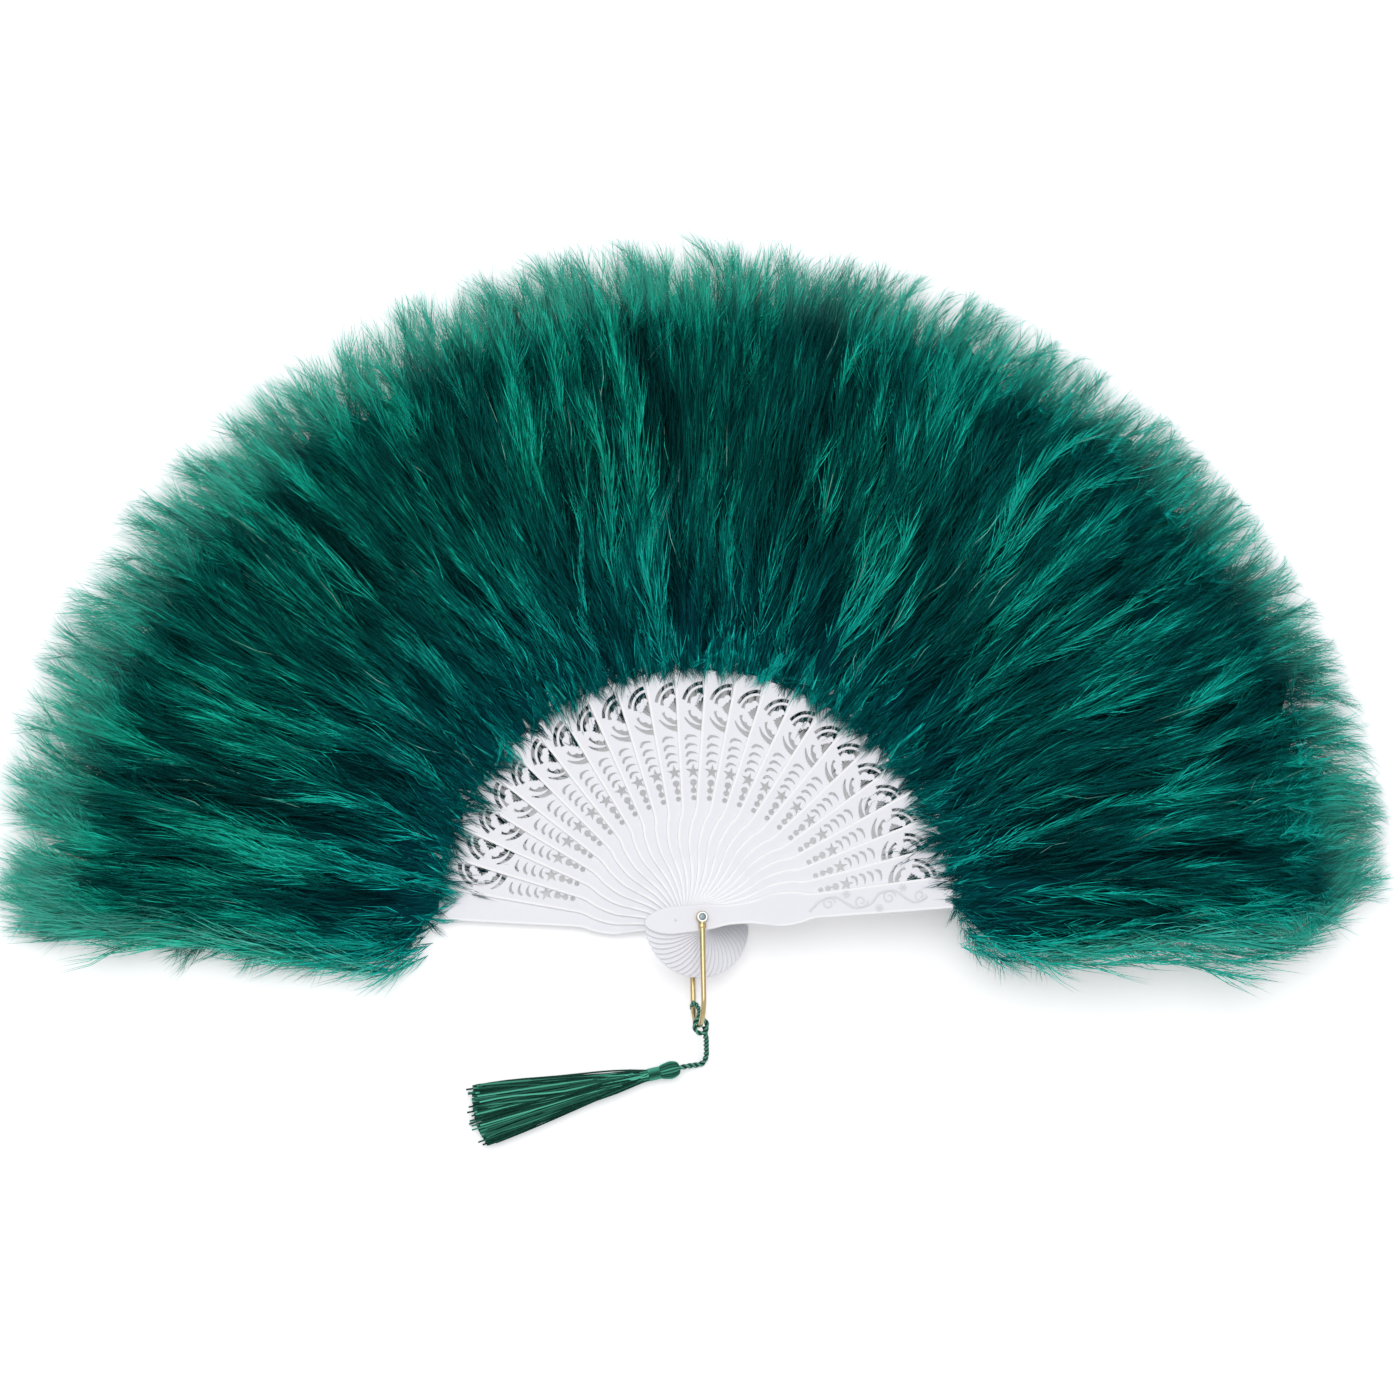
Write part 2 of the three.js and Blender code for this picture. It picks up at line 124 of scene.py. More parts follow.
def add_node(tree, kind, inputs=None, **properties):
    """Adds a node, with its inputs and its own properties."""
    node = tree.nodes.new(kind)
    for name, value in properties.items():
        setattr(node, name, value)
    set_inputs(node, inputs or {})
    return node


def made_by(tree, kind, inputs=None, **properties):
    """The first output of a new node."""
    return add_node(tree, kind, inputs, **properties).outputs[0]


def math_of(tree, operation, *values):
    """The result of a math node on up to three values."""
    return made_by(tree, "ShaderNodeMath", dict(enumerate(values)), operation=operation)


def ranged(tree, value, start, end, low=0.0, high=1.0, kind="LINEAR"):
    """A value of one range, brought to another."""
    limits = {"From Min": start, "From Max": end, "To Min": low, "To Max": high}
    return made_by(tree, "ShaderNodeMapRange", {"Value": value, **limits}, interpolation_type=kind)


def new_material(name):
    """A material with its node tree and its shader node."""
    material = bpy.data.materials.new(name)
    material.use_nodes = True
    tree = material.node_tree
    return material, tree, tree.nodes["Principled BSDF"]


def seen_directly(tree):
    """1 where a surface or the world is seen by the camera, in a gloss or through glass, and else 0."""
    path = add_node(tree, "ShaderNodeLightPath").outputs
    seen = math_of(tree, "MAXIMUM", path["Is Camera Ray"], path["Is Glossy Ray"])
    return math_of(tree, "MAXIMUM", seen, path["Is Transmission Ray"])


def add_table():
    material, tree, shader = new_material("white laminate table")
    tree.nodes.remove(shader)
    grain = made_by(tree, "ShaderNodeTexNoise", {"Scale": 3.0, "Detail": 2.0})
    seen = made_by(tree, "ShaderNodeBsdfDiffuse", {"Color": ranged(tree, grain, 0.0, 1.0, 0.97, 1.0)})
    glow = made_by(tree, "ShaderNodeEmission", {"Strength": TABLE_GLOW})
    bright = made_by(tree, "ShaderNodeAddShader", {0: seen, 1: glow})
    plain = made_by(tree, "ShaderNodeBsdfDiffuse", {"Color": linear("#E6E6E8")})
    both = made_by(tree, "ShaderNodeMixShader", {0: seen_directly(tree), 1: plain, 2: bright})
    set_inputs(tree.nodes["Material Output"], {"Surface": both})
    half = TABLE_SIDE / 2
    corners = [(x, y, -TABLE_DEPTH) for x, y in ((-half, -half), (half, -half), (half, half), (-half, half))]
    mesh = bpy.data.meshes.new("table")
    mesh.from_pydata(corners, [], [(0, 1, 2, 3)])
    mesh.materials.append(material)
    table = bpy.data.objects.new("table", mesh)
    bpy.context.scene.collection.objects.link(table)


def add_light():
    world = bpy.data.worlds.new("white walls")
    bpy.context.scene.world = world
    world.use_nodes = True
    tree = world.node_tree
    walls = tree.nodes["Background"]
    set_inputs(walls, {"Color": linear("#FAFAFF"), "Strength": WALL_STRENGTH})
    seen = made_by(tree, "ShaderNodeBackground", {"Color": linear("#FFFFFF"), "Strength": 1.0})
    both = made_by(tree, "ShaderNodeMixShader", {0: seen_directly(tree), 1: walls.outputs[0], 2: seen})
    set_inputs(tree.nodes["World Output"], {"Surface": both})
    data = bpy.data.lights.new("softbox", "AREA")
    data.size = SOFTBOX_SIDE
    data.energy = SOFTBOX_POWER
    softbox = bpy.data.objects.new("softbox", data)
    aim = (SOFTBOX_PLACE - VIEW_TARGET).to_track_quat("Z", "Y").to_matrix().to_4x4()
    softbox.matrix_world = Matrix.Translation(SOFTBOX_PLACE) @ aim
    bpy.context.scene.collection.objects.link(softbox)
    bpy.context.scene.view_settings.view_transform = "Standard"


add_table()
add_light()

# Sticks
# Each stick is one plate of white polystyrene, injection moulded with its piercings in it: two
# groups of dots, a star, four crescents and half a rosette. They turn on the rivet.
STICK_COUNT = 23
BACK_ANGLE = math.radians(177.5)
FRONT_ANGLE = math.radians(8.1)
HEAD_LENGTH = 22.6
BLADE_LENGTH = 101
BLADE_HALF_WIDTH = 6.6
TAIL_LENGTH = 84
TAIL_TIP_SHARE = 0.6
STICK_TAIL_HALF_WIDTH = 2.2
RIVET_HOLE_RADIUS = 1.25
STICK_EDGE = 0.24
# The painted highlight along each long edge: how far in from the edge it starts and is full, and how far from the rivet
# it comes in
PAINTED_EDGE_BAND = (1.3, 0.4)
PAINTED_EDGE_FADE = (-4.0, 14.0)
# The plastic's flow marks, some 11 mm long, and the mould's fine grain, as so many a metre
FLOW_MARKS = 90.0
MOULD_GRAIN = 1400.0
HEAD_SHARES = [(-1, 0.14), (-0.93, 0.39), (-0.8, 0.64), (-0.6, 0.81), (-0.38, 0.83)]
BLADE_SHARES = [(0.03, 0.76), (0.1, 0.62), (0.17, 0.64), (0.23, 0.79), (0.31, 1.03), (0.385, 0.97),
                (0.44, 0.78), (0.515, 0.79), (0.75, 0.9), (1, 1)]
DOTS = [(49.3, 0.94), (52.3, 1.06), (55.5, 1.26)]
DOT_LINK_HALF_WIDTH = 0.28
STAR_PLACE = 60
STAR_RADII = (2.9, 1.05)
# Each crescent: the radius of its crest, its middle across the stick and half its width
CRESCENTS = [(64.8, 0.45, 2.2), (68.1, 0.5, 2.35), (71.4, 0.6, 2.45), (74.9, 0.65, 2.5)]
CRESCENT_DROPS = (2.3, 1.4)
CRESCENT_THICKNESS = 1.15
CRESCENT_DEPTHS = ([0.08, 0.5, 0.8, 0.97], [0.0, 0.85, 1, 0.9])
ROSETTE_CENTRE = (86.6, -4.9)
ROSETTE_RADII = (10, 8.9)
# Each slot: its side, the angle of its left end, its rim, its inner edge at the left and right ends, its scallops
ROSETTE_SLOTS = [(1, 74, 1.01, 0.88, 0.86, 0), (-1, 62, 1.01, 0.975, 0.775, 0), (1, 80, 0.75, 0.59, 0.45, 0.09),
                 (-1, 74, 0.75, 0.62, 0.48, 0.09)]
ROSETTE_HEART = [(0.0, 0.4), (0.06, 0.28), (0.12, 0.3), (0.13, 0.2), (0.2, 0.21), (0.22, 0.1), (0.33, 0.08),
                 (0.36, 0.01), (-0.36, 0.01), (-0.33, 0.08), (-0.22, 0.1), (-0.2, 0.21), (-0.13, 0.2),
                 (-0.12, 0.3), (-0.06, 0.28)]


def smooth_line(points, steps):
    """Points on a smooth curve through the given ones, with that many steps between each two."""
    p = np.array(points, float)
    p = np.vstack([2 * p[0] - p[1], p, 2 * p[-1] - p[-2]])
    t = np.linspace(0, 1, steps, endpoint=False)[:, None]
    parts = []
    for a, b, c, d in zip(p, p[1:], p[2:], p[3:]):
        parts.append(b + ((c - a) * t + (2 * a - 5 * b + 4 * c - d) * t**2 + (3 * b - a - 3 * c + d) * t**3) / 2)
    return np.vstack([*parts, p[-2:-1]])


def arc(centre, radii, start, end, count):
    """Points on an arc of an ellipse, between two angles in radians."""
    angles = np.linspace(start, end, count)
    return np.c_[centre[0] + radii[0] * np.cos(angles), centre[1] + radii[1] * np.sin(angles)]


def rib_outline(tail_half_width):
    """The outline of a rib, with its head on the negative side of the rivet."""
    half = [(x * HEAD_LENGTH, y * BLADE_HALF_WIDTH) for x, y in HEAD_SHARES]
    half += [(x * BLADE_LENGTH, y * BLADE_HALF_WIDTH) for x, y in BLADE_SHARES]
    tip = BLADE_LENGTH + TAIL_LENGTH
    half = np.vstack([smooth_line(half, 5), [(BLADE_LENGTH, tail_half_width), (tip, tail_half_width * TAIL_TIP_SHARE)]])
    return np.vstack([half * (1, -1), half[::-1]])


def circle(x, y, radius, count):
    return arc((x, y), (radius, radius), 0, 2 * math.pi, count + 1)[:-1]


def linked_dots(inner, outer):
    """Two dots joined by a narrow link, as one hole."""
    inner_gap = math.asin(DOT_LINK_HALF_WIDTH / inner[1])
    outer_gap = math.asin(DOT_LINK_HALF_WIDTH / outer[1])
    far = arc((outer[0], 0), (outer[1], outer[1]), outer_gap - math.pi, math.pi - outer_gap, 14)
    near = arc((inner[0], 0), (inner[1], inner[1]), inner_gap, 2 * math.pi - inner_gap, 14)
    return np.vstack([far, near])


def star():
    angles = np.arange(10) * math.pi / 5
    radii = np.where(np.arange(10) % 2, STAR_RADII[1], STAR_RADII[0])
    return np.c_[STAR_PLACE + radii * np.cos(angles), radii * np.sin(angles)]


def crescent(crest, middle, half):
    """A thin hook that bulges away from the rivet: blunt and deep at its left end, pointed at its right one."""
    turn = np.linspace(0.08, 0.97, 11) * math.pi
    left = turn > math.pi / 2
    across = -np.cos(turn) * np.where(left, 0.75, 1.25) * half
    drop = (1 - np.sin(turn)) * np.where(left, *CRESCENT_DROPS)
    rim = np.c_[crest - drop, middle + 0.25 * half + across]
    depth = CRESCENT_THICKNESS * np.interp(turn / math.pi, *CRESCENT_DEPTHS)
    edge = rim + np.c_[-depth * np.sin(turn), -depth * across / half * 0.9]
    return np.vstack([rim, edge[:0:-1]])


def rosette_slot(side, left_angle, rim, left, right, scallop):
    """A bowed slot of the half rosette, on the far side of its centre or on the near one."""
    start, end = math.radians(left_angle), math.radians(2)
    radii = np.array(ROSETTE_RADII) * (side, 1)
    outer = arc(ROSETTE_CENTRE, radii * rim, start, end, 10)
    share = np.linspace(1, 0, 15)[:, None]
    inner = left + (right - left) * share + scallop * np.abs(np.sin(2 * math.pi * share))
    swept = arc((0, 0), radii, end, start, 15) * inner + ROSETTE_CENTRE
    return np.vstack([outer, swept])


def stick_holes():
    (place, radius), *others = DOTS
    holes = [circle(place, 0, radius, 12), linked_dots(*others), star()]
    holes += [crescent(*sizes) for sizes in CRESCENTS]
    holes += [rosette_slot(*sizes) for sizes in ROSETTE_SLOTS]
    holes.append(np.array(ROSETTE_HEART) * ROSETTE_RADII + ROSETTE_CENTRE)
    return holes


def new_curve(name, dimensions, depth, resolution):
    """A curve with a round bevel of the given depth in millimetres."""
    curve = bpy.data.curves.new(name, "CURVE")
    curve.dimensions = dimensions
    curve.bevel_depth = depth * MM
    curve.bevel_resolution = resolution
    curve.use_fill_caps = True
    return curve


def add_line(curve, line, closed=False, radius=1.0):
    """Adds a line of flat or solid points in millimetres to a curve."""
    spline = curve.splines.new("POLY")
    spline.points.add(len(line) - 1)
    rows = np.zeros((len(line), 4))
    rows[:, :line.shape[1]] = line * MM
    rows[:, 3] = 1
    spline.points.foreach_set("co", rows.ravel())
    spline.points.foreach_set("radius", np.full(len(line), radius))
    spline.use_cyclic_u = closed


def plate_mesh(name, outline, holes, thickness, edge):
    """A flat plate with a rounded edge, its underside at height 0, in metres."""
    curve = new_curve(name, "2D", edge, 1)
    curve.fill_mode = "BOTH"
    curve.extrude = (thickness / 2 - edge) * MM
    curve.offset = -edge * MM
    for loop in [outline, *holes]:
        add_line(curve, loop, True)
    return mesh_of(bpy.data.objects.new(name, curve), Matrix.Translation((0, 0, thickness / 2 * MM)))


def mesh_of(obj, place=Matrix.Identity(4)):
    """The plain mesh that an object with modifiers or curves gives, moved to its place; the object goes."""
    bpy.context.scene.collection.objects.link(obj)
    found = obj.evaluated_get(bpy.context.evaluated_depsgraph_get())
    mesh = bpy.data.meshes.new_from_object(found)
    mesh.transform(place)
    bpy.data.objects.remove(obj)
    return mesh


def new_piece(name, mesh, material, smooth_angle=None):
    """An object of its own, at the origin, for a mesh that is already in its place."""
    mesh.name = name
    mesh.materials.clear()
    mesh.materials.append(material)
    if smooth_angle is not None:
        mesh.shade_smooth()
        mesh.set_sharp_from_angle(angle=math.radians(smooth_angle))
    piece = bpy.data.objects.new(name, mesh)
    bpy.context.scene.collection.objects.link(piece)
    return piece


def rib_place(order, node):
    """The place of a rib, counted from the back guard: its angle about the rivet and its CAD height."""
    angle = BACK_ANGLE + (FRONT_ANGLE - BACK_ANGLE) * order / (STICK_COUNT + 1)
    return angle, Matrix.Translation((0, 0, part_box(node)[0][2])) @ Matrix.Rotation(angle, 4, "Z")


def mark_rib(mesh):
    """Writes each point's place in the rib's own plane, in millimetres, for the painted highlight along the plate's
    edges.
    """
    places = np.empty(len(mesh.vertices) * 3, np.float32)
    mesh.vertices.foreach_get("co", places)
    mesh.attributes.new("rib", "FLOAT_VECTOR", "POINT").data.foreach_set("vector", places / MM)
    return mesh


def mixed(tree, share, first, second, kind="MIX"):
    """A colour between two others."""
    node = add_node(tree, "ShaderNodeMix", {0: share, 6: first, 7: second}, data_type="RGBA", blend_type=kind)
    return node.outputs[2]


def parts_of(tree, vector):
    return add_node(tree, "ShaderNodeSeparateXYZ", {0: vector}).outputs


def noise_of(tree, scale, detail):
    """Noise that sticks to the object, which a finished piece leaves at the origin."""
    place = add_node(tree, "ShaderNodeTexCoord").outputs["Object"]
    return made_by(tree, "ShaderNodeTexNoise", {"Vector": place, "Scale": scale, "Detail": detail})


def bumped(tree, height, strength):
    return made_by(tree, "ShaderNodeBump", {"Height": height, "Strength": strength, "Distance": 0.1 * MM})


def painted_edge_highlight(tree):
    """The mask of the painted highlight along a rib's long edges: 0 in the middle and 1 at the edge, faded out near the
    rivet.
    """
    parts = parts_of(tree, add_node(tree, "ShaderNodeAttribute", attribute_name="rib").outputs["Vector"])
    along = ranged(tree, parts["X"], -HEAD_LENGTH, BLADE_LENGTH)
    width = add_node(tree, "ShaderNodeFloatCurve", {"Value": along})
    outline = width.mapping.curves[0]
    half = [(x * HEAD_LENGTH, y) for x, y in HEAD_SHARES] + [(x * BLADE_LENGTH, y) for x, y in BLADE_SHARES]
    while len(outline.points) < len(half):
        outline.points.new(0.5, 0.5)
    for point, (x, y) in zip(outline.points, half):
        point.location = (x + HEAD_LENGTH) / (HEAD_LENGTH + BLADE_LENGTH), y * 0.9
    width.mapping.update()
    half_width = math_of(tree, "MULTIPLY", width.outputs[0], BLADE_HALF_WIDTH / 0.9)
    inset = math_of(tree, "SUBTRACT", half_width, math_of(tree, "ABSOLUTE", parts["Y"]))
    near = ranged(tree, inset, *PAINTED_EDGE_BAND, kind="SMOOTHSTEP")
    return math_of(tree, "MULTIPLY", near, ranged(tree, parts["X"], *PAINTED_EDGE_FADE))


def white_plastic():
    """Moulded polystyrene: cool white and half gloss. Its long edges are painted whiter than its middle, a painted
    highlight for the light that its rounded edges catch and that comes through where the plates overlap.
    """
    material, tree, shader = new_material("moulded white polystyrene")
    flow = noise_of(tree, FLOW_MARKS, 3.0)
    middle = mixed(tree, flow, linear("#EBEBF0"), linear("#F1F1F5"))
    set_inputs(shader, {
        # Painted highlight: the colour goes to pure white along the plate's long edges.
        "Base Color": mixed(tree, painted_edge_highlight(tree), middle, linear("#FFFFFF")),
        "Roughness": ranged(tree, flow, 0.0, 1.0, 0.34, 0.48), "IOR": 1.49,
        "Normal": bumped(tree, noise_of(tree, MOULD_GRAIN, 2.0), 0.12),
        "Subsurface Weight": 0.25, "Subsurface Radius": (1, 1, 1), "Subsurface Scale": 1.2 * MM})
    return material


polystyrene = white_plastic()
stick_thickness = (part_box("stick_01")[1][2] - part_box("stick_01")[0][2]) / MM
stick_hole = circle(0, 0, RIVET_HOLE_RADIUS, 20)
pierced = mark_rib(plate_mesh("pierced stick", rib_outline(STICK_TAIL_HALF_WIDTH), [stick_hole, *stick_holes()],
                              stick_thickness, STICK_EDGE))
for order in range(1, STICK_COUNT + 1):
    node = f"stick_{order:02d}"
    mesh = pierced.copy()
    mesh.transform(rib_place(order, node)[1])
    stick = new_piece(f"pierced_{node}", mesh, polystyrene, 50)
    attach(stick, f"rib_{order:02d}")
    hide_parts(node)

# Guards
# The two outer ribs are twice as thick and unpierced. The front one has a low scroll and three
# flowers moulded on its face, and a small moulding dot on its head.
GUARD_TAIL_HALF_WIDTH = 3.2
GUARD_EDGE = 0.35
RELIEF_HEIGHT = 0.18
STEM_RADIUS = 0.42
CURL_RADIUS = 0.3
PETAL_RADIUS = 0.45
SCROLL = [(43, -2.2), (48, 1.6), (54, 2.4), (58, -0.4), (62, -2.6), (68, -1.4), (72, 2.2), (78, 2.6), (82, -0.6),
          (86, -2.8), (91, -1.2)]
CURLS = [(51, 0.2, 2.7, 1), (64, -0.2, 2.8, -1), (75.5, 0.2, 2.9, 1), (88, -0.2, 2.6, -1)]
FLOWERS = [(58.5, 3.2, 1.6), (71, -3.6, 1.6), (81.5, 3.6, 1.6)]
PETALS = 6
GATE_DOT_PLACE = -10.4
GATE_DOT_RADIUS = 0.6
GATE_DOT_HEIGHT = 0.3


def relief_curves():
    """The lines of the moulded scroll: its stem, its curls and its flowers, in the rib's own plane."""
    lines = [(smooth_line(SCROLL, 6), STEM_RADIUS)]
    turn = np.linspace(0, 2.6 * math.pi, 26)
    for x, y, size, way in CURLS:
        reach = size * (1 - turn / 11)
        lines.append((np.c_[x + reach * np.cos(turn), y + way * reach * np.sin(turn)], CURL_RADIUS))
    for x, y, size in FLOWERS:
        for angle in 2 * math.pi * np.arange(PETALS) / PETALS:
            lines.append((np.array([(x, y), (x + size * math.cos(angle), y + size * math.sin(angle))]), PETAL_RADIUS))
    return lines


def turned_mesh(name, profile, closed, sides=40):
    """A form turned about the rivet's axis, from pairs of radius and height in millimetres."""
    angles = np.arange(sides) * 2 * math.pi / sides
    points = [(r * math.cos(a) * MM, r * math.sin(a) * MM, z * MM) for a in angles for r, z in profile]
    count = len(profile)
    faces = []
    for i in range(sides):
        near, far = i * count, (i + 1) % sides * count
        for j in range(count if closed else count - 1):
            k = (j + 1) % count
            faces.append((near + j, far + j, far + k, near + k))
    mesh = bpy.data.meshes.new(name)
    mesh.from_pydata(points, [], faces)
    return cleaned(mesh)


def cleaned(mesh):
    """Merges doubled points, such as those at a pole, and turns every face outwards."""
    work = bmesh.new()
    work.from_mesh(mesh)
    bmesh.ops.remove_doubles(work, verts=work.verts, dist=1e-6)
    bmesh.ops.dissolve_degenerate(work, edges=work.edges, dist=1e-7)
    bmesh.ops.recalc_face_normals(work, faces=work.faces)
    work.to_mesh(mesh)
    work.free()
    return mesh


def dome(radius, foot, rise, steps=5):
    """Half the profile of a shallow dome, from its rim to the axis."""
    angles = np.linspace(0, math.pi / 2, steps)
    return [(radius * math.cos(a), foot + rise * math.sin(a)) for a in angles]


def relief_mesh(face_z):
    """The scroll as low rounded ridges that stand out of the guard's face."""
    curve = new_curve("relief", "3D", 1, 2)
    for line, radius in relief_curves():
        add_line(curve, line, radius=radius)
    flatten = Matrix.Diagonal((1, 1, RELIEF_HEIGHT / STEM_RADIUS, 1))
    return mesh_of(bpy.data.objects.new("relief", curve), Matrix.Translation((0, 0, face_z * MM)) @ flatten)


def joined(name, meshes):
    """One mesh made of several."""
    points, faces, base = [], [], 0
    for mesh in meshes:
        co = np.empty(len(mesh.vertices) * 3)
        mesh.vertices.foreach_get("co", co)
        points += co.reshape(-1, 3).tolist()
        faces += [[base + v for v in face.vertices] for face in mesh.polygons]
        base = len(points)
    whole = bpy.data.meshes.new(name)
    whole.from_pydata(points, [], faces)
    return whole


guard_thickness = (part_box("front_guard")[1][2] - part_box("front_guard")[0][2]) / MM
plain_guard = plate_mesh("guard", rib_outline(GUARD_TAIL_HALF_WIDTH), [stick_hole], guard_thickness, GUARD_EDGE)
gate_dot = turned_mesh("gate dot", [(0, -GATE_DOT_HEIGHT), *dome(GATE_DOT_RADIUS, 0, GATE_DOT_HEIGHT)], False, 16)
gate_dot.transform(Matrix.Translation((GATE_DOT_PLACE * MM, 0, guard_thickness * MM)))
relief_guard = mark_rib(joined("relief guard", [plain_guard, relief_mesh(guard_thickness), gate_dot]))
mark_rib(plain_guard)
for order, node, body, shape in ((0, "back_guard", "back_rib", plain_guard),
                                 (STICK_COUNT + 1, "front_guard", "front_rib", relief_guard)):
    mesh = shape.copy()
    mesh.transform(rib_place(order, node)[1])
    guard = new_piece(f"moulded_{node}", mesh, polystyrene, 50)
    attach(guard, body)
    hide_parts(node)

# Rivet and washers
# A nickel-plated steel rivet is closed over a washer at each end. Its heads are small domes.
RIVET_RADIUS = 1.1
RIVET_HEAD_RADIUS = 1.45
RIVET_HEAD_HEIGHT = 0.4
WASHER_RADIUS = 2.0
WASHER_THICKNESS = 0.4
WASHER_HOLE_RADIUS = 1.2
WASHER_EDGE = 0.1


def metal(name, dark, light, rough, scratch_scale):
    """A plated metal with fine handling marks in its polish."""
    material, tree, shader = new_material(name)
    marks = noise_of(tree, scratch_scale, 4.0)
    set_inputs(shader, {"Base Color": mixed(tree, marks, linear(dark), linear(light)), "Metallic": 1.0,
                        "Roughness": ranged(tree, marks, 0.0, 1.0, rough * 0.7, rough * 1.4)})
    return material


rivet_steel = metal("nickel-plated rivet steel", "#6E797E", "#8A959A", 0.42, 900.0)
washer_steel = metal("bright tinned washer steel", "#C8CACB", "#DEDFDF", 0.45, 900.0)
rivet_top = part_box("rivet")[1][2] / MM
lower = [(r, RIVET_HEAD_HEIGHT - z) for r, z in dome(RIVET_HEAD_RADIUS, 0, RIVET_HEAD_HEIGHT)][::-1]
upper = dome(RIVET_HEAD_RADIUS, rivet_top - RIVET_HEAD_HEIGHT, RIVET_HEAD_HEIGHT)
shank = [(RIVET_RADIUS, RIVET_HEAD_HEIGHT), (RIVET_RADIUS, rivet_top - RIVET_HEAD_HEIGHT)]
rivet = new_piece("closed_rivet", turned_mesh("rivet", lower + shank + upper, False), rivet_steel, 40)
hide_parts("rivet")
washers = []
for node in ("rivet_washer_back", "rivet_washer_front"):
    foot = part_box(node)[0][2] / MM
    top, face = foot + WASHER_THICKNESS, WASHER_RADIUS - WASHER_EDGE
    profile = [(WASHER_HOLE_RADIUS, foot), (face, foot), (WASHER_RADIUS, foot + WASHER_EDGE),
               (WASHER_RADIUS, top - WASHER_EDGE), (face, top), (WASHER_HOLE_RADIUS, top)]
    washer = new_piece(f"plated_{node}", turned_mesh(node, profile, True), washer_steel, 40)
    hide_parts(node)
    washers.append(washer)
for piece in (rivet, *washers):
    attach(piece, "back_rib")

# Bail
# One length of gilt wire is bent into a long U that straddles the ribs. Each end is flattened
# into an eye round the rivet, with a small collar where the wire closes on itself.
WIRE_RADIUS = 1.05
EYE_RADIUS = 2.35
EYE_HEIGHT = 1.6
BAIL_LEG_LENGTH = 31.6
BAIL_BEND_DEPTH = 9.9
BAIL_ANGLE = math.radians(-87.5)
COLLAR_LENGTH = 2.4
COLLAR_RADII = (1.5, 1.05)
COLLAR_START = 2.3
COLLAR_PROFILE = [(0, 0), (0.8, 0), (1, 0.12), (1, 0.88), (0.8, 1), (0, 1)]


def bail_line():
    """The wire's centre line in the bail's own plane, from the front leg to the back one."""
    low, high = leg_heights
    middle, half = (low + high) / 2, (high - low) / 2
    bend = [(BAIL_LEG_LENGTH + BAIL_BEND_DEPTH * math.sin(a), middle + half * math.cos(a))
            for a in np.linspace(0, math.pi, 33)]
    start = EYE_RADIUS - 0.4
    legs = np.linspace(start, BAIL_LEG_LENGTH, 6)[:-1]
    line = [(x, high) for x in legs] + bend + [(x, low) for x in legs[::-1]]
    return np.array([(x, 0, z) for x, z in line])


def wire_mesh(line, radius, resolution):
    """A round wire along a line of points in millimetres, closed at both ends."""
    curve = new_curve("wire", "3D", radius, resolution)
    add_line(curve, line)
    return mesh_of(bpy.data.objects.new("wire", curve))


def eye_mesh(height):
    """The flattened eye of the wire round the rivet, rounded on its rim and at its bore."""
    middle, reach = (EYE_RADIUS + RIVET_HOLE_RADIUS) / 2, (EYE_RADIUS - RIVET_HOLE_RADIUS) / 2
    rounded = lambda share: math.copysign(abs(share) ** 0.6, share)
    profile = [(middle + reach * rounded(math.cos(a)), height + EYE_HEIGHT / 2 * rounded(math.sin(a)))
               for a in np.arange(16) * math.pi / 8]
    return turned_mesh("eye", profile, True)


def collar_mesh(height):
    """The collar beside the eye, round a leg of the wire."""
    mesh = turned_mesh("collar", COLLAR_PROFILE, False, 20)
    along = Matrix.Rotation(math.pi / 2, 4, "Y") @ Matrix.Diagonal((COLLAR_RADII[1], COLLAR_RADII[0], COLLAR_LENGTH, 1))
    mesh.transform(Matrix.Translation((COLLAR_START * MM, 0, height * MM)) @ along)
    return mesh


bail_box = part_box("bail")
leg_heights = (bail_box[0][2] / MM + WIRE_RADIUS, bail_box[1][2] / MM - WIRE_RADIUS)
bail_parts = [wire_mesh(bail_line(), WIRE_RADIUS, 5)]
for height in leg_heights:
    bail_parts += [eye_mesh(height), collar_mesh(height)]
gilt = metal("gold-plated wire", "#A6936A", "#C2B084", 0.18, 700.0)
bail_mesh = joined("bail", bail_parts)
bail_mesh.transform(Matrix.Rotation(BAIL_ANGLE, 4, "Z"))
bail = new_piece("gilt_bail", bail_mesh, gilt, 40)
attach(bail, "bail")
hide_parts("bail")

# Tassel cord
# Two plies of rayon thread are twisted into one limp cord. Its eye is hitched round the bail's
# bend, and it hangs from there to the table and runs into the tassel's head.
CORD_RADIUS = 1.15
CORD_LAY = 5.4
CORD_ROUTE = [
    (4.1, -41.6, 16.2), (4.3, -43.2, 16.2), (4.3, -44.6, 16.1), (5.2, -46.3, 13.2), (5.9, -48.8, 9.0),
    (6.6, -51.6, 4.9), (6.4, -54.0, 2.0), (5.0, -55.5, 1.1), (2.4, -56.1, 1.5), (-0.4, -56.6, 2.8),
    (-3.4, -57.3, 3.6), (-4.6, -57.6, 3.6),
]
HITCH_CENTRE = (2.5, -41.5, 16.2)
HITCH_RADII = (2.5, 2.95)
HITCH_PLY_RADIUS = 1.0
# The extra pass of the hitch, from the ring up to the back leg and round its left side
HITCH_PASS = [(2.2, -39.6, 15.8), (1.9, -38.0, 14.0), (2.7, -35.3, 10.0), (2.4, -32.8, 5.9), (1.3, -31.4, 3.7),
              (0.9, -32.1, 2.6), (0.8, -33.4, 1.2)]


def new_tree(name, inputs, output):
    """A geometry node tree with its named inputs and its output, and the sockets of those inputs."""
    tree = bpy.data.node_groups.new(name, "GeometryNodeTree")
    tree.is_modifier = True
    for socket, kind in inputs.items():
        tree.interface.new_socket(socket, in_out="INPUT", socket_type=f"NodeSocket{kind}")
    tree.interface.new_socket(output, in_out="OUTPUT", socket_type="NodeSocketGeometry")
    return tree, add_node(tree, "NodeGroupInput").outputs


